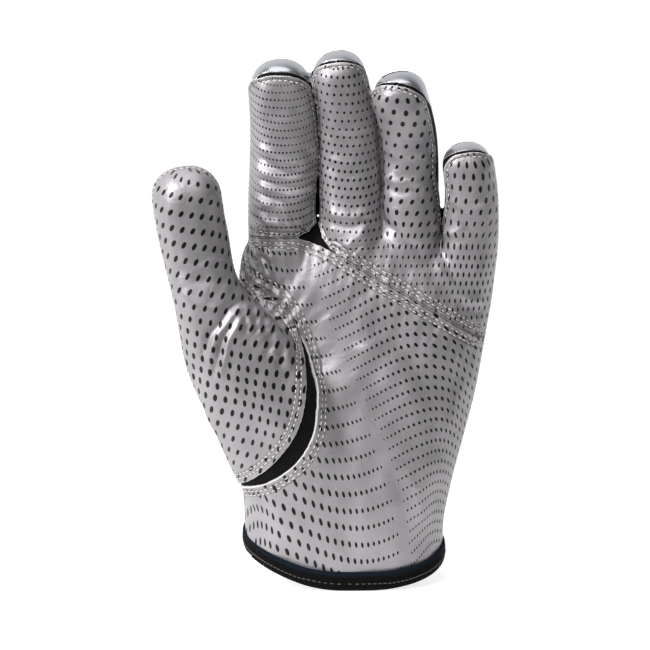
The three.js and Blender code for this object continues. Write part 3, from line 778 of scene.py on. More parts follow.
cut_along_chalk(cloth)
middles = np.array([f.calc_center_median() for f in cloth.faces])
for face, panel in zip(cloth.faces, panel_at(middles)):
    face.material_index = int(panel)
lap(f"cut into {len(cloth.faces)} faces")

# %% Crumbs go to the panel around them
CRUMB = 60  # faces
seen, crumbs = set(), []
for face in cloth.faces:
    if face in seen:
        continue
    patch, beside = [face], []
    seen.add(face)
    for here in patch:
        for other in {f for e in here.edges for f in e.link_faces}:
            if other.material_index != face.material_index:
                beside.append(other.material_index)
            elif other not in seen:
                seen.add(other)
                patch.append(other)
    if len(patch) < CRUMB and beside:
        crumbs.append((patch, max(set(beside), key=beside.count)))
for patch, panel in crumbs:
    print(f"{len(patch)} faces of {panel_names[patch[0].material_index]} join {panel_names[panel]}")
    for face in patch:
        face.material_index = panel

# %% So do single faces that jut over a seam
EAR = 0.5 * MM**2
ears = []
for face in cloth.faces:
    across = [f.material_index for e in face.edges for f in e.link_faces if f != face]
    across = [panel for panel in across if panel != face.material_index]
    if len(across) >= len(face.edges) - 1 and face.calc_area() < EAR:
        ears.append((face, max(set(across), key=across.count)))
for face, panel in ears:
    face.material_index = panel
print(f"{len(ears)} ears trimmed")

# %% [markdown]
# ## Folds
# The leather buckles where the glove bends: across the fingers' joints, in the thumb's web and
# under the knuckles. Each fold is one stroke, as a sculptor's brush would pull it: a height, a half
# width, how much of a trough lies beside it, and its path over the palm in millimetres. Unlike in
# a cloth simulation, each stroke can be laid where the photograph shows it.

# %% Fold strokes
Fold = namedtuple("Fold", "height width trough path")
folds = [
    # index finger: a firm slanting crease at the joint and softer ones above and below
    Fold(1.1, 1.7, 0.8, [(-34, 156), (-26, 151), (-18, 147), (-8, 149)]),
    Fold(0.9, 1.5, 0.8, [(-34, 148), (-28, 144), (-19, 142), (-7, 144)]),
    Fold(1.0, 1.5, 0.8, [(-34, 142), (-25, 138), (-19, 136), (-8, 138)]),
    Fold(0.7, 1.3, 0.6, [(-35, 136), (-30, 134), (-25, 131)]),
    Fold(1.0, 1.8, 0.8, [(-35, 130), (-29, 127), (-22, 125), (-10, 126)]),
    Fold(0.4, 1.8, 0.5, [(-32, 168), (-24, 165), (-16, 166)]),
    Fold(0.8, 1.5, 0.6, [(-12, 156), (-9, 149), (-10, 140)]),
    # middle finger
    Fold(0.9, 1.7, 0.7, [(-6, 131), (1, 128), (12, 131)]),
    Fold(0.5, 1.7, 0.6, [(-5, 150), (3, 147), (12, 149)]),
    Fold(0.45, 1.8, 0.6, [(-6, 163), (3, 160), (10, 163)]),
    Fold(0.9, 1.5, 0.7, [(0, 117), (5, 120), (9, 127)]),
    Fold(0.6, 1.3, 0.6, [(3, 113), (7, 117), (10, 123)]),
    # ring and little finger
    Fold(0.8, 1.7, 0.7, [(14, 144), (20, 141), (30, 142)]),
    Fold(0.5, 1.7, 0.6, [(14, 154), (20, 151), (29, 153)]),
    Fold(-1.0, 1.7, 0.4, [(13, 131), (16, 126), (23, 119), (31, 114)]),
    Fold(0.7, 1.6, 0.6, [(33, 124), (38, 122), (45, 125)]),
    Fold(0.6, 1.5, 0.6, [(37, 136), (43, 133), (50, 136)]),
    # palm
    Fold(0.9, 2.2, 0.5, [(33, 113), (39, 105), (47, 98), (55, 97)]),
    Fold(0.8, 5.0, 0.3, [(-16, 109), (-4, 98), (7, 87), (19, 76)]),
    Fold(-0.5, 3.2, 0.4, [(16, 88), (25, 76), (32, 62), (35, 46)]),
    Fold(-0.6, 2.2, 0.4, [(-12, 100), (-1, 90), (9, 80)]),
    Fold(0.7, 3.0, 0.5, [(22, 40), (27, 28), (31, 14)]),
    Fold(0.5, 2.6, 0.5, [(-30, 34), (-24, 24), (-20, 12)]),
    # palm beside the web
    Fold(0.7, 1.0, 0.9, [(-37, 118), (-34, 112), (-31, 106)]),
    Fold(0.7, 1.1, 0.9, [(-32, 118), (-29, 111), (-26, 104)]),
    Fold(0.6, 1.0, 0.9, [(-28, 117), (-25, 110), (-22, 102)]),
    Fold(0.5, 1.1, 0.9, [(-23, 116), (-20, 108), (-18, 99)]),
    Fold(0.5, 1.0, 0.9, [(-36, 112), (-30, 115), (-23, 112)]),
    # thumb web
    Fold(1.2, 1.4, 0.9, [(-34, 99), (-40, 93), (-45, 86), (-49, 77)]),
    Fold(1.1, 1.3, 0.9, [(-34, 96), (-39, 89), (-42, 80), (-44, 70)]),
    Fold(1.0, 1.6, 0.8, [(-24, 90), (-20, 82), (-19, 74)]),
    Fold(0.8, 1.3, 0.7, [(-26, 92), (-24, 85), (-25, 78)]),
    Fold(0.7, 1.1, 0.7, [(-35, 99), (-34, 94), (-32, 88)]),
    Fold(0.7, 1.0, 0.7, [(-32, 98), (-30, 93), (-29, 87)]),
    Fold(0.7, 1.0, 0.7, [(-29, 97), (-27, 92), (-27, 86)]),
    # thumb
    Fold(0.6, 2.2, 0.5, [(-58, 118), (-52, 112), (-44, 110)]),
    Fold(0.5, 2.4, 0.5, [(-58, 104), (-50, 98), (-43, 97)]),
]


# %% Height of all strokes together
def along_path(path, x, z):
    """Signed distance of points from a path, left positive, and the share of the way along it."""
    path = np.asarray(path, float)
    lengths = np.linalg.norm(np.diff(path, axis=0), axis=1)
    best = np.full(len(x), np.inf)
    signed, share = np.zeros(len(x)), np.zeros(len(x))
    travelled = 0.0
    for (x0, z0), (x1, z1), length in zip(path, path[1:], lengths):
        dx, dz = (x1 - x0) / length, (z1 - z0) / length
        t = np.clip((x - x0) * dx + (z - z0) * dz, 0, length)
        gap = np.hypot(x - x0 - t * dx, z - z0 - t * dz)
        closer = gap < best
        best[closer] = gap[closer]
        side = np.sign(dx * (z - z0) - dz * (x - x0))
        signed[closer] = (side * gap)[closer]
        share[closer] = (travelled + t[closer]) / lengths.sum()
        travelled += length
    return signed, share


STROKE_STEPS = 6
CREST = 1.4  # 2 is a soft bell, less is a sharper crest
FOLD_WANDER = 0.25  # mm that a crest strays from its stroke, in a wave along it
WANDER_RATE, WANDER_START = 17, 40
TROUGH_AWAY = 1.8  # half widths from a crest to its trough
STROKE_RISE = 0.2  # share of a stroke over which its fold rises, and falls at its other end


def fold_height(x, z):
    """Height in millimetres that all strokes together lift a point of the palm side."""
    total = np.zeros(len(x))
    for fold in folds:
        signed, share = along_path(smooth_path(fold.path, STROKE_STEPS), x / MM, z / MM)
        signed += FOLD_WANDER * np.sin(share * WANDER_RATE + fold.height * WANDER_START)
        ridge = np.exp(-np.abs(signed / fold.width) ** CREST)
        trough = fold.trough * np.exp(-((signed / fold.width + TROUGH_AWAY) ** 2))
        total += fold.height * taper(share, STROKE_RISE) * (ridge - trough)
    return total


# %% Arrays of the cut cloth
cloth.normal_update()
cloth.verts.ensure_lookup_table()
cloth.verts.index_update()
source = cloth.verts.layers.int.new("source")
for vert in cloth.verts:
    vert[source] = vert.index
where = np.array([v.co for v in cloth.verts])
outward = np.array([v.normal for v in cloth.verts])
touching = [{f.material_index for f in v.link_faces} for v in cloth.verts]
on_seam = np.array([len(panels) > 1 for panels in touching])
lap(f"{on_seam.sum()} points on seams")

# %% [markdown]
# ## Seam gathers
# Two rows of thread pull the leather together, so short gathers stand across a double-stitched
# seam, a few millimetres apart. They are strongest at the seam and die out over a finger's
# breadth.

# %% Gathers
DOUBLE_SEAMS = [
    {"palm_panel", "thumb_gusset"}, {"thumb_panel", "thumb_gusset"}, {"palm_panel", "thumb_panel"},
    {"palm_panel", "finger_panel"}, {"palm_panel", "index_panel"},
    {"palm_panel", "fourchette_index_middle"},
]
GATHER_PITCH = 4.3 * MM
GATHER_REACH = 6 * MM
GATHER_HEIGHT = 0.34 * MM
GATHER_STRAY, STRAY_RUN = 1.4, 2.1 * GATHER_PITCH  # how uneven they stand along the seam
GATHER_LEAN = 0.5 / MM
GATHER_RISE = 0.04  # share of the seam
gathered_lines = [
    (web_line, 1.0, 1.5), (knuckle_left, 1.0, 1.0), (knuckle_gore, 0.8, 1.0),
    (knuckle_right, 0.6, 1.0), (index_foot, 0.8, 1.0), (gusset_inner, 0.12, 1.0),
    (gusset_outer, 0.12, 1.0),
]


def gathers(x, z):
    total = np.zeros(len(x))
    for line, strength, reach in gathered_lines:
        signed, share = along_path(line, x, z)
        travel = share * travel_along(line)[-1]
        phase = 2 * np.pi * travel / GATHER_PITCH + GATHER_STRAY * np.sin(travel / STRAY_RUN)
        fade = np.exp(-np.abs(signed) / (GATHER_REACH * reach)) * taper(share, GATHER_RISE)
        total += strength * GATHER_HEIGHT * fade * np.sin(phase + GATHER_LEAN * signed)
    return total


# %% Soft unevenness of worn leather
chance = np.random.default_rng(7)
WAVE_LENGTHS = np.array([42, 33, 26, 21, 17, 14, 11, 9]) * MM
WAVE_HEIGHTS = 0.0075 * WAVE_LENGTHS
WAVE_STRAY, STRAY_LENGTH = 0.8, 1.7  # each wave's crest snakes, over a share of its length
wave_headings = chance.uniform(0, np.pi, len(WAVE_LENGTHS))
wave_starts = chance.uniform(0, 2 * np.pi, len(WAVE_LENGTHS))


def soft_waves(x, z):
    total = np.zeros(len(x))
    for length, high, heading, start in zip(WAVE_LENGTHS, WAVE_HEIGHTS, wave_headings, wave_starts):
        turns = 2 * np.pi * (x * np.cos(heading) + z * np.sin(heading)) / length
        aside = 2 * np.pi * (x * np.sin(heading) - z * np.cos(heading)) / length
        total += high * np.sin(turns + start + WAVE_STRAY * np.sin(aside / STRAY_LENGTH))
    return total


# %% Pull the folds
FRONT_FADE = 6 * MM
FACING = (0.05, 0.5)  # slope towards the viewer where folds set in, and where they are full
x, y, z = where.T
number = finger_number(x, z)
before = seam_depth(x, z, number) - y
facing = smoothstep(-outward[:, 1], *FACING) * smoothstep(before, 0, FRONT_FADE)
lift = MM * fold_height(x, z) + gathers(x, z) + soft_waves(x, z)
shaped = where + outward * (lift * facing)[:, None]
lap(f"folds up to {lift.max() / MM:.1f} mm")

# %% [markdown]
# ## Dot print
# The grip leather carries a halftone of black ovals for looks. This one is a plain design of its
# own: rows of dots that sag across each finger, run aslant on the thumb and swell over the palm,
# where they grow away from a bare band.
# Every vertex gets a place in the print, a column and a row, and the material draws one oval in
# each cell. Round a finger the place is measured along the skin, so dots don't smear.

# %% Where a point lies on the print
Print = namedtuple("Print", "column row wide tall tilt sag")  # pitches and ovals in mm
prints = [
    Print(1.35, 2.7, 0.72, 0.85, 0.2, 0.02),  # index finger
    Print(2.0, 3.1, 0.9, 1.25, -0.2, 0.02),
    Print(3.3, 4.1, 1.25, 2.0, -0.3, 0.014),
    Print(3.0, 4.3, 1.1, 2.6, -0.15, 0.01),
    Print(3.9, 5.2, 1.6, 3.0, -0.3, 0.0),  # thumb
]
ovals = np.array([(p.wide / p.column / 2, p.tall / p.row / 2, p.tilt) for p in prints])
DotSize = namedtuple("DotSize", "mean swing across up")  # a wave of size, with its lengths in mm
dot_sizes = {
    "index_panel": DotSize(0.9, 0.12, 4, 11),
    "finger_panel": DotSize(0.92, 0.12, 9, 7),
    "thumb_panel": DotSize(0.92, 0.1, math.inf, 9),
}
THUMB_SLANT = math.radians(-26)
THUMB_ROUNDING = 0.33  # how much shorter an oval is at the tip than on the ball
PALM_SWELL = 6.0  # mm that the palm's rows rise and fall
PALM_WAVE = 80.0  # mm from crest to crest
BAND_FOOT, BAND_LEAN, BAND_BOW = 24.0, -0.3, 4.0  # mm: the bare band leans over the palm
BARE = 1.2  # mm to either side of the band's middle
Field = namedtuple("Field", "pitch growth row wide short tall")
thumb_side = Field(1.5, 0.045, 6.2, 0.42, 1.3, 3.0)
finger_side = Field(1.4, 0.055, 3.9, 0.44, 0.9, 1.7)
FIELD_REACH = 34.0  # mm over which a field's dots grow to their full height
PAD_COLUMN, PAD_ROW = 2.0, 3.2  # mm, on the pad under the fingers
PALM_TURN = (0.6, 0.95)  # shares of the half width where the palm turns to its side
BAND_BEND = 22.0  # mm of height for each radian of the band's bow
SWELL_LEAN, SWELL_START = 0.25, 0.9
WRAP_FROM, WRAP_FULL = 0.6 * HAND_LENGTH, 0.7 * HAND_LENGTH
ROUNDING = (0.5 * HAND_LENGTH, 0.75 * HAND_LENGTH)
SIDE_REACH = 1.05  # a finger is a little deeper than it is wide


# %% Places in the print of each panel
def around_finger(line, x, y, z):
    """Distance across a finger measured along its skin, in metres."""
    centre, deep, half = line(z)
    return half * np.arctan2((x - centre) / half, (deep - y) / half * SIDE_REACH)


def finger_print(index, x, y, z):
    finger = prints[index]
    loose = smoothstep(z, WRAP_FROM, WRAP_FULL)
    across = around_finger(line_at[index], x, y, z) / MM
    own = line_at[index](WRAP_FROM)[0] / MM / PAD_COLUMN + across / finger.column
    column = loose * own + (1 - loose) * x / MM / PAD_COLUMN
    climb = np.maximum(z - WRAP_FROM, 0) / MM - loose * finger.sag * across**2
    return column, np.minimum(z, WRAP_FROM) / MM / PAD_ROW + climb / finger.row


def thumb_print(x, y, z):
    ball, tip = thumb.line[2], thumb.line[6]
    axis = np.array([tip.side - ball.side, tip.up - ball.up]) * [HAND_WIDTH, HAND_LENGTH]
    axis /= np.linalg.norm(axis)
    across = around_finger(thumb_at, x, y, z) / MM
    along = (x * axis[0] + z * axis[1]) / MM
    c, s = math.cos(THUMB_SLANT), math.sin(THUMB_SLANT)
    shape = prints[-1]
    return (c * across + s * along) / shape.column, (c * along - s * across) / shape.row


def palm_print(x, y, z):
    """Place and oval of the palm's halftone, whose dots grow away from a leaning bare band."""
    centre, half, palm, _, _ = section_at(z / HAND_LENGTH).T
    from_middle = x - HAND_WIDTH * centre
    turn = smoothstep(np.abs(from_middle) / (half * HAND_WIDTH), *PALM_TURN)
    round_side = np.sign(from_middle) * turn * (y + palm * HAND_DEPTH)
    across, up = (x + round_side) / MM, z / MM
    band = BAND_FOOT + BAND_LEAN * up + BAND_BOW * np.sin(up / BAND_BEND)
    away = np.abs(across - band)
    wave = 2 * np.pi * (across + SWELL_LEAN * up) / PALM_WAVE
    swell = PALM_SWELL * np.sin(wave + SWELL_START)
    column, row, wide, tall = np.zeros((4, len(x)))
    for field, side in ((thumb_side, across < band), (finger_side, across >= band)):
        column[side] = (np.log1p(away * field.growth / field.pitch) / field.growth)[side]
        row[side] = ((up + swell) / field.row)[side]
        wide[side] = field.wide / 2
        height = field.short + (field.tall - field.short) * smoothstep(away, 0, FIELD_REACH)
        tall[side] = (height / field.row / 2)[side]
    size = smoothstep(away, BARE, 2 * BARE)
    return np.column_stack([column, row, size]), np.column_stack([wide, tall, 0 * wide])


# %% Place, dot size and oval of any point
def print_place(name, x, y, z):
    """Column, row and dot size of the print, and each oval's width, height and tilt in its cell."""
    if name == "palm_panel":
        return palm_print(x, y, z)
    if name == "thumb_panel":
        column, row = thumb_print(x, y, z)
        oval = np.tile(ovals[-1], (len(x), 1))
        shorter = THUMB_ROUNDING * smoothstep(z, *ROUNDING)
        oval[:, 1:] *= 1 - shorter[:, None]
    elif name == "index_panel":
        column, row = finger_print(0, x, y, z)
        oval = np.tile(ovals[0], (len(x), 1))
    else:
        number = (x > border(1, z)).astype(int) + (x > border(2, z))
        places = [finger_print(i, x, y, z) for i in (1, 2, 3)]
        column, row = (np.choose(number, values) for values in zip(*places))
        oval = ovals[1 + number]
    wave = dot_sizes[name]
    size = wave.mean + wave.swing * np.sin(x / MM / wave.across + z / MM / wave.up)
    return np.column_stack([column, row, size]), oval


# %% [markdown]
# ## Panels
# Every panel is its own sheet with a thickness, as in the glove. Grip leather stands a little
# proud of the knit, a raw edge curls up, and panels keep a hair's breadth apart. Each vertex
# carries its distance from the panel's edge and from the sewn seams, so that the materials can
# paint shade into a groove, paint a shadow line where leather meets leather, or show the raw edge.

# %% Distances from the seams
GRIP = {"palm_panel", "index_panel", "finger_panel", "thumb_panel"}
FAR_AWAY = 50 * MM


def nearest_gap(targets, asked):
    """Distance from each asked point of the cloth to the nearest target point."""
    if not len(targets):
        return np.full(len(asked), FAR_AWAY)
    tree = KDTree(len(targets))
    for i in targets:
        tree.insert(where[i], i)
    tree.balance()
    return np.array([tree.find(point)[2] for point in where[asked]])


def names_of(index):
    return {panel_names[panel] for panel in touching[index]}


def is_double(index, name):
    return any(name in pair and pair <= names_of(index) for pair in DOUBLE_SEAMS)


def add_layer(mesh, name, values):
    """A number or a vector for each point of the mesh, as a layer that shaders read."""
    kind, field = ("FLOAT", "value") if values.ndim == 1 else ("FLOAT_VECTOR", "vector")
    mesh.attributes.new(name, kind, "POINT").data.foreach_set(field, values.ravel())


# %% One panel as a piece
SHEET = 1.1 * MM
GRIP_LIFT = 0.35 * MM
EDGE_CURL = 0.25 * MM
KNIT_DROP = 0.35 * MM
EDGE_GAP = 0.18 * MM
PULL_SHARE = 0.6  # a point never moves further into its faces, so no sliver turns over
Finish = namedtuple("Finish", "outside inside edge")


def pull_edge_in(piece, on_edge):
    """Moves the points of a panel's edge towards the middle of their own faces."""
    pulls = []
    for vert in (vert for vert, edge in zip(piece.verts, on_edge) if edge):
        inner = sum((f.calc_center_median() for f in vert.link_faces), Vector())
        inward = inner / len(vert.link_faces) - vert.co
        pulls.append((vert, inward * min(EDGE_GAP / inward.length, PULL_SHARE)))
    for vert, pull in pulls:
        vert.co += pull


# %% The piece with its layers and thickness
def panel_object(name, finish):
    panel = panel_names.index(name)
    piece = cloth.copy()
    others = [f for f in piece.faces if f.material_index != panel]
    bmesh.ops.delete(piece, geom=others, context="FACES")
    label = piece.verts.layers.int["source"]
    source = np.array([v[label] for v in piece.verts])
    edge = source[on_seam[source]]
    double = [i for i in edge if is_double(i, name)]
    seams = {
        "edge_gap": edge,
        "double_gap": double,
        "single_gap": sorted(set(edge) - set(double)),
        "butt_gap": [i for i in edge if names_of(i) <= GRIP],
    }
    gaps = {layer: nearest_gap(seam, source) for layer, seam in seams.items()}
    curl = EDGE_CURL * np.exp(-gaps["edge_gap"] / MM)
    rise = GRIP_LIFT + curl if name in GRIP else np.full(len(source), -KNIT_DROP)
    for vert, place in zip(piece.verts, shaped[source] + outward[source] * rise[:, None]):
        vert.co = place
    pull_edge_in(piece, on_seam[source])
    for face in piece.faces:
        face.material_index = 0
    item = add_mesh(name, piece, *finish)
    for layer, gap in gaps.items():
        add_layer(item.data, layer, gap / MM)
    if name in GRIP:
        for layer, values in zip(("print", "oval"), print_place(name, *where[source].T)):
            add_layer(item.data, layer, values)
    sheet = item.modifiers.new("Sheet", "SOLIDIFY")
    sheet.thickness = SHEET
    sheet.offset = -1
    sheet.material_offset = 1
    sheet.material_offset_rim = 2
    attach(item, "root")
    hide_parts(name)
    lap(f"{name}: {len(item.data.polygons)} faces")
    return item


# %% [markdown]
# ## Stitches
# Each stitch is one bead of thread that dips into the leather at both ends. The rows follow the
# real seams: the places where two panels meet are strung into lines and moved in from the panel's
# edge, and a bead is laid every couple of millimetres.

# %% Seam lines
THREAD_PITCH = 2.1 * MM
EVEN_ROUNDS = 6
DOUBLE_ROWS = (2.0, 3.8)  # mm from a double seam to its two rows of thread
SINGLE_ROW = (1.5,)


def seam_runs(name, partners):
    """Strings of points where a panel meets any of its partners."""
    panel = panel_names.index(name)
    others = {panel_names.index(partner) for partner in partners}
    links = {}
    for edge in cloth.edges:
        kinds = {f.material_index for f in edge.link_faces}
        if len(kinds) == 2 and panel in kinds and kinds & others:
            a, b = edge.verts
            links.setdefault(a.index, []).append(b.index)
            links.setdefault(b.index, []).append(a.index)
    runs = []
    while links:
        here = next((k for k, v in links.items() if len(v) == 1), next(iter(links)))
        run = [here]
        while links.get(here):
            ahead = links[here].pop()
            links[ahead].remove(here)
            if not links[here]:
                del links[here]
            here = ahead
            run.append(here)
        links = {k: v for k, v in links.items() if v}
        runs.append(run)
    return runs


def even_points(points, pitch):
    """The run of points smoothed a little and laid out again at an even pitch."""
    for _ in range(EVEN_ROUNDS):
        points[1:-1] = 0.5 * points[1:-1] + 0.25 * (points[:-2] + points[2:])
    travel = travel_along(points)
    count = max(int(travel[-1] / pitch), 2)
    stops = (np.arange(count) + 0.5) / count * travel[-1]
    return np.column_stack([np.interp(stops, travel, points[:, k]) for k in range(3)])


# %% Lay a row of thread
THREAD_LENGTH = 1.5 * MM
THREAD_WIDTH = 0.44 * MM
THREAD_HEIGHT = 0.3 * MM
SHORTEST_RUN = 8 * MM
LEAST_INSET = 0.7  # a bead that would lie closer to its seam than this share is left out
bead_size = Matrix.Diagonal((THREAD_LENGTH / 2, THREAD_WIDTH / 2, THREAD_HEIGHT / 2, 1))
bead = bmesh.new()
bmesh.ops.create_uvsphere(
    bead, u_segments=8, v_segments=4, radius=1, matrix=Matrix.Rotation(math.pi / 2, 4, "Y")
)
laid_bead = bpy.data.meshes.new("bead")


def lay_bead(bm, place, along, out):
    """One bead of thread with its length in one direction and its flat side outwards."""
    turn = Matrix((along, out.cross(along), out)).transposed().to_4x4()
    copy = bead.copy()
    copy.transform(Matrix.Translation(place) @ turn @ bead_size)
    copy.to_mesh(laid_bead)
    copy.free()
    bm.from_mesh(laid_bead)


def lay_row(bm, carrier, run, inset):
    """Beads of thread along a run, moved in onto the carrier panel."""
    points = shaped[run].copy()
    if travel_along(points)[-1] < SHORTEST_RUN:
        return 0
    stops = even_points(points, THREAD_PITCH)
    laid = 0
    for stop, tangent in zip(stops, np.gradient(stops, axis=0)):
        stop, tangent = Vector(stop), Vector(tangent).normalized()
        inward = tangent.cross(carrier.find_nearest(stop)[1])
        places = [carrier.find_nearest(stop + sign * inset * inward) for sign in (1, -1)]
        gaps = [(place[0] - stop).length for place in places]
        if max(gaps) < LEAST_INSET * inset:
            continue
        place, out, _, _ = places[int(gaps[1] > gaps[0])]
        lay_bead(bm, place, out.cross(tangent).normalized().cross(out), out)
        laid += 1
    return laid


# %% [markdown]
# ## Grip leather
# The palm is thin microfibre with a satin silver film, printed with black ovals. The film crinkles
# finely, so it catches light in small flakes, and it dips where thread pulls it down, with painted
# shade in the dips and a painted shadow line where leather meets leather. A raw cut edge shows the
# pale backing. The print's place and the distance from the seams come from the mesh, so one
# material works on every panel.


# %% Maths helpers for shaders
def maths(tree, operation, a, b=0.0, c=0.0):
    """One maths node; each of a, b and c is a number or a socket."""
    node = add_node(tree, "Math", {"operation": operation})
    for socket, value in zip(node.inputs, (a, b, c)):
        set_or_link(tree, socket, value)
    return node.outputs[0]


def layer_value(tree, name, output="Fac"):
    return add_node(tree, "Attribute", {"attribute_name": name}).outputs[output]


def noise(tree, scale, detail, **settings):
    """Fine noise on the object's own coordinates."""
    here = add_node(tree, "TexCoord").outputs["Object"]
    settings = {"Scale": scale, "Detail": detail, **settings}
    return add_node(tree, "TexNoise", settings, {"Vector": here}).outputs["Fac"]


def set_bump(tree, shader, height, depth):
    bump = add_node(tree, "Bump", {"Distance": depth, "Strength": 1.0}, {"Height": height})
    tree.links.new(bump.outputs["Normal"], shader.inputs["Normal"])


def dip(tree, distance, centre, width):
    """A bell of height 1 where the distance is close to its centre."""
    offset = maths(tree, "DIVIDE", maths(tree, "SUBTRACT", distance, centre), width)
    return maths(tree, "EXPONENT", maths(tree, "MULTIPLY", maths(tree, "POWER", offset, 2), -1))


def blend_colour(tree, share, dark, light):
    mix = add_node(tree, "Mix", {"data_type": "RGBA"}, {"Factor": share})
    set_or_link(tree, mix.inputs["A"], dark)
    set_or_link(tree, mix.inputs["B"], light)
    return mix.outputs["Result"]


# %% Dots, grooves and raw edges as shader pieces
def dot_mask(tree):
    """1 inside a printed oval: rows are staggered by half a column."""
    place = add_node(tree, "SeparateXYZ", links={0: layer_value(tree, "print", "Vector")})
    oval = add_node(tree, "SeparateXYZ", links={0: layer_value(tree, "oval", "Vector")})
    column, row, size = place.outputs
    wide, tall, tilt = oval.outputs
    stagger = maths(tree, "FRACT", maths(tree, "MULTIPLY", maths(tree, "FLOOR", row), 0.5))
    up = maths(tree, "SUBTRACT", maths(tree, "FRACT", row), 0.5)
    along = maths(tree, "SUBTRACT", maths(tree, "FRACT", maths(tree, "ADD", column, stagger)), 0.5)
    along = maths(tree, "ADD", along, maths(tree, "MULTIPLY", tilt, up))
    a = maths(tree, "POWER", maths(tree, "ABSOLUTE", maths(tree, "DIVIDE", along, wide)), 2)
    b = maths(tree, "POWER", maths(tree, "ABSOLUTE", maths(tree, "DIVIDE", up, tall)), 2)
    reach = maths(tree, "SQRT", maths(tree, "ADD", a, b))
    return maths(tree, "LESS_THAN", reach, size)


DOUBLE_DIP, SINGLE_DIP = 0.5, 0.45  # mm, the half width of the dip under a row of thread


def groove_depth(tree):
    """How deep a place lies in the dips under the rows of thread, 1 under the thread itself."""
    double, single = layer_value(tree, "double_gap"), layer_value(tree, "single_gap")
    dips = [dip(tree, double, row, DOUBLE_DIP) for row in DOUBLE_ROWS]
    dips += [dip(tree, single, row, SINGLE_DIP) for row in SINGLE_ROW]
    total = dips[0]
    for another in dips[1:]:
        total = maths(tree, "ADD", total, another)
    return total


# %% Grip leather
RAW_EDGE = 0.28  # mm of pale cut edge
# BUTT_SHADE is the half width of a painted shadow line along seams where leather meets leather
BUTT_SHADE = 0.45  # mm: where leather meets leather no light edge shows, but a dark line
BUTT_REACH = 1  # mm from such a place, where no raw edge shows
# SEAM_SHADE sets how much painted shade darkens the grooves under the rows of thread
SEAM_SHADE = 0.45  # share of the dark in a groove
BARE_METAL = 0.45
SMOOTHEST, FLAKE_ROUGHNESS = 0.32, 0.24
GROOVE, CRUMPLE, FLAKE, INK = -0.16, 0.22, 0.07, 0.02  # heights in mm
grip_film, tree, shader = new_material("satin_silver_grip_leather_printed", Specular_IOR_Level=0.3)
dots = dot_mask(tree)
groove = groove_depth(tree)
mottle = noise(tree, 60, 3, Roughness=0.6)
flakes = noise(tree, 750, 4, Roughness=0.7)
crumple = noise(tree, 260, 4, Roughness=0.6, Distortion=1.0)
butt_gap = layer_value(tree, "butt_gap")
edge = maths(tree, "LESS_THAN", layer_value(tree, "edge_gap"), RAW_EDGE)
edge = maths(tree, "MULTIPLY", edge, maths(tree, "GREATER_THAN", butt_gap, BUTT_REACH))
silver = blend_colour(tree, mottle, linear("#908D90"), linear("#A9A5A9"))
for share, tint in (
    # painted shade: the grooves under the rows of thread are darkened
    (maths(tree, "MULTIPLY", groove, SEAM_SHADE), "#4A474A"),
    (dots, "#0C0B0D"),
    # painted shadow: a dark line along the gap where leather meets leather
    (dip(tree, butt_gap, 0, BUTT_SHADE), "#171618"),
    (edge, "#CDC9C9"),
):
    silver = blend_colour(tree, share, silver, linear(tint))
tree.links.new(silver, shader.inputs["Base Color"])
bare = maths(tree, "SUBTRACT", 1, maths(tree, "MAXIMUM", dots, edge))
tree.links.new(maths(tree, "MULTIPLY", bare, BARE_METAL), shader.inputs["Metallic"])
roughness = maths(tree, "MULTIPLY_ADD", flakes, FLAKE_ROUGHNESS, SMOOTHEST)
tree.links.new(roughness, shader.inputs["Roughness"])
height = maths(tree, "MULTIPLY", groove, GROOVE)
for part, share in ((crumple, CRUMPLE), (flakes, FLAKE), (dots, INK)):
    height = maths(tree, "MULTIPLY_ADD", part, share, height)
set_bump(tree, shader, height, MM)

# %% [markdown]
# ## Knit, film, tape and thread
# The inserts are a dense black warp knit: matt, with very fine ribs. The back is a charcoal
# stretch mesh of the same family. The caps over the fingertips are a glossy silver film. The
# ribs and the weave are sine waves of real pitch on the object's own coordinates.


# %% Fine ribs
def ribs(tree, axis, pitch):
    """A sine of the given pitch in metres along one object axis, from -1 to 1."""
    place = add_node(tree, "TexCoord").outputs["Object"]
    parts = add_node(tree, "SeparateXYZ", links={0: place})
    return maths(tree, "SINE", maths(tree, "MULTIPLY", parts.outputs[axis], 2 * math.pi / pitch))


def woven(tree, pitch):
    return maths(tree, "MULTIPLY", ribs(tree, "X", pitch), ribs(tree, "Z", pitch))


# %% Knit insert
KNIT_PITCH, KNIT_RELIEF = 0.7 * MM, 0.06 * MM
knit, tree, shader = new_material(
    "black_warp_knit", Base_Color=linear("#0C0B0E"), Roughness=0.85, Specular_IOR_Level=0.15
)
set_bump(tree, shader, woven(tree, KNIT_PITCH), KNIT_RELIEF)

# %% Back mesh
MESH_PITCH, MESH_RELIEF = 1.0 * MM, -0.1 * MM
OPEN_PART = 0.45  # where the weave's wave is higher, the mesh is open
back_mesh, tree, shader = new_material(
    "charcoal_stretch_mesh", Roughness=0.8, Specular_IOR_Level=0.2
)
weave = woven(tree, MESH_PITCH)
open_hole = maths(tree, "GREATER_THAN", weave, OPEN_PART)
charcoal = blend_colour(tree, open_hole, linear("#2E2E34"), linear("#0D0D10"))
tree.links.new(charcoal, shader.inputs["Base Color"])
set_bump(tree, shader, weave, MESH_RELIEF)

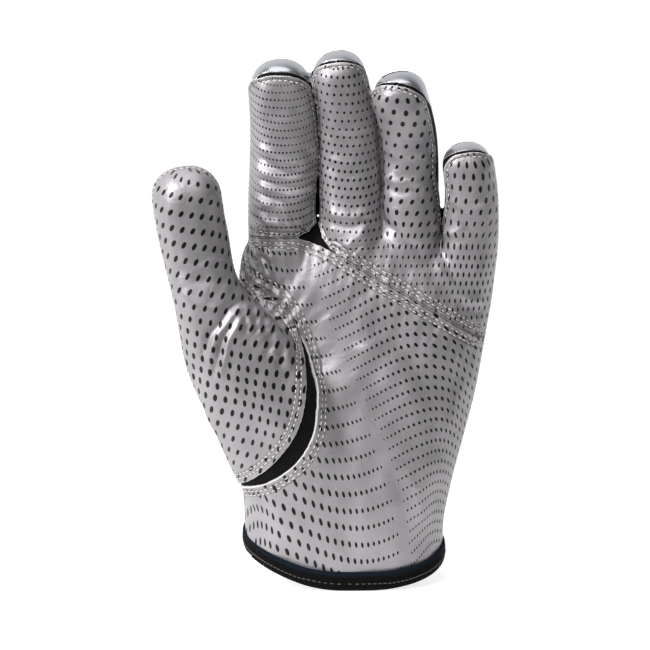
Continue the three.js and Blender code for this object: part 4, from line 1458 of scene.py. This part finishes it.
# %% Cap film, lining, raw edge, tape and thread
FILM_RIPPLE = 0.3 * MM
film, tree, shader = new_material(
    "glossy_silver_transfer_film", Base_Color=linear("#A3A5AB"), Roughness=0.27, Metallic=0.8
)
set_bump(tree, shader, noise(tree, 60, 1), FILM_RIPPLE)
lining = plain_material("brushed_knit_lining", "#0C0C0E", 0.95)
raw_edge = plain_material("raw_cut_leather_edge", "#CDC9C9", 0.8)
thread = plain_material("polyester_sewing_thread", "#DCD8D8", 0.5)
tape_thread = plain_material("worn_black_sewing_thread", "#4A4542", 0.6)
TAPE_RIB, TAPE_RELIEF = 0.8 * MM, 0.07 * MM
tape, tree, shader = new_material("woven_binding_tape", Roughness=0.85, Specular_IOR_Level=0.1)
black = blend_colour(tree, layer_value(tree, "top_edge"), linear("#080708"), linear("#0F1720"))
tree.links.new(black, shader.inputs["Base Color"])
set_bump(tree, shader, ribs(tree, "Z", TAPE_RIB), TAPE_RELIEF)

# %% Make the panels
panels = {}
for name in panel_names:
    finish, slot = Finish(knit, lining, lining), "stretch_insert"
    if name in GRIP:
        finish, slot = Finish(grip_film, lining, raw_edge), "grip_palm"
    elif name.startswith("tip_cap"):
        finish, slot = Finish(film, lining, raw_edge), "cap_film"
    elif name == "back_panel":
        finish, slot = Finish(back_mesh, lining, lining), "stretch_back"
    panels[name] = panel_object(name, finish)

# %% Sew
Row = namedtuple("Row", "carrier partners insets")
rows = [
    Row("thumb_panel", ["thumb_gusset", "palm_panel"], DOUBLE_ROWS),
    Row("palm_panel", ["thumb_gusset", "thumb_panel"], DOUBLE_ROWS),
    Row("palm_panel", ["index_panel", "finger_panel", "fourchette_index_middle"], DOUBLE_ROWS),
    Row("index_panel", ["palm_panel"], DOUBLE_ROWS),
    Row("finger_panel", ["palm_panel"], DOUBLE_ROWS),
    Row("index_panel", ["fourchette_index_middle", "back_panel"], SINGLE_ROW),
    Row("finger_panel", ["fourchette_index_middle", "fourchette_middle_ring"], SINGLE_ROW),
    Row("finger_panel", ["fourchette_ring_little", "back_panel"], SINGLE_ROW),
    Row("thumb_panel", ["back_panel", "tip_cap_thumb"], SINGLE_ROW),
]
sewing = bmesh.new()
carriers = {}
for row in rows:
    if row.carrier not in carriers:
        mesh = panels[row.carrier].data
        carriers[row.carrier] = BVHTree.FromPolygons(
            [v.co for v in mesh.vertices], [p.vertices for p in mesh.polygons]
        )
    for run in seam_runs(row.carrier, row.partners):
        laid = [lay_row(sewing, carriers[row.carrier], run, inset * MM) for inset in row.insets]
        if laid[0]:
            print(f"{row.carrier} to {row.partners[0]}: {laid} stitches")
stitches = add_mesh("stitches", sewing, thread)
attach(stitches, "root")
lap(f"stitches: {len(stitches.data.polygons)} faces")

# %% [markdown]
# ## Wrist binding
# The wrist edge is bound with a folded tape. Its section, a narrow U with soft corners, is swept
# round the rim with the hand's own ring formula, so it hugs the panels' ends from both sides.

# %% Binding
BINDING_SIDES = 160
U_STEPS = 44
TOP_EDGE = (5.0 * MM, 5.8 * MM)  # the heights between which the tape's upper edge turns bluish
u_section = [  # offset out from the cloth and height over the rim, in millimetres
    (0.35, 6.2), (0.75, 6.6), (1.15, 6.3), (1.45, 4.8), (1.5, 3.0), (1.35, 1.2), (0.9, 0.2),
    (0.0, -0.1), (-1.5, -0.1), (-2.4, 0.2), (-2.8, 1.2), (-2.9, 3.2), (-2.8, 5.6), (-2.5, 6.4),
    (-2.1, 6.5), (-1.85, 6.1), (-1.8, 3.0), (-1.75, 1.2), (-1.2, 0.8), (-0.3, 0.8), (0.25, 1.2),
    (0.3, 3.0), (0.35, 6.2),
]
u_curve = smooth_curve(np.linspace(0, 1, len(u_section)), u_section)


def binding_shape(around, along):
    offset, height = (u_curve(along) * MM).T
    centre, half, palm, back, _ = section_at(height / HAND_LENGTH).T
    across, depth = squared(2 * np.pi * around, HAND_CORNER)
    x = HAND_WIDTH * centre + (HAND_WIDTH * half + offset) * across
    y = (HAND_DEPTH * np.where(depth < 0, palm, back) + offset) * depth
    return np.column_stack([x, y, height + hem_shift(x, y, height)])


tape_form = bmesh.new()
wrap_grid(tape_form, BINDING_SIDES, U_STEPS, binding_shape)
bmesh.ops.recalc_face_normals(tape_form, faces=tape_form.faces)
binding = add_mesh("wrist_binding", tape_form, tape)
x, y, z = points_of(binding.data).T
over_rim = z - hem_shift(x, y, np.zeros(len(z)))
add_layer(binding.data, "top_edge", smoothstep(over_rim, *TOP_EDGE))
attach(binding, "root")
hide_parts("wrist_binding")
lap(f"binding: {len(binding.data.polygons)} faces")

# %% The row of thread round the tape
TAPE_ROW = 0.19  # share of the way along the tape's section: outside, near its middle
TAPE_THREADS = 130
SECTION_STEP = 0.03
turns = np.linspace(0, 1, TAPE_THREADS + 1)
stops = binding_shape(turns, np.full(len(turns), TAPE_ROW))
upward = binding_shape(turns, np.full(len(turns), TAPE_ROW + SECTION_STEP)) - stops
tape_sewing = bmesh.new()
for here, ahead, up in zip(stops, stops[1:], upward):
    along = Vector(ahead - here).normalized()
    out = Vector(up).normalized().cross(along).normalized()
    if out.dot(Vector((here[0] - WRIST_CENTRE, here[1], 0))) < 0:
        out = -out
    lay_bead(tape_sewing, here, along, out)
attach(add_mesh("tape_stitches", tape_sewing, tape_thread), "root")

# %% Finish
visual_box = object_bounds()
for axis, low, high in zip("XYZ", visual_box[0], visual_box[1]):
    print(f"{axis}: {low / MM:.1f} to {high / MM:.1f} mm")
lap("done")
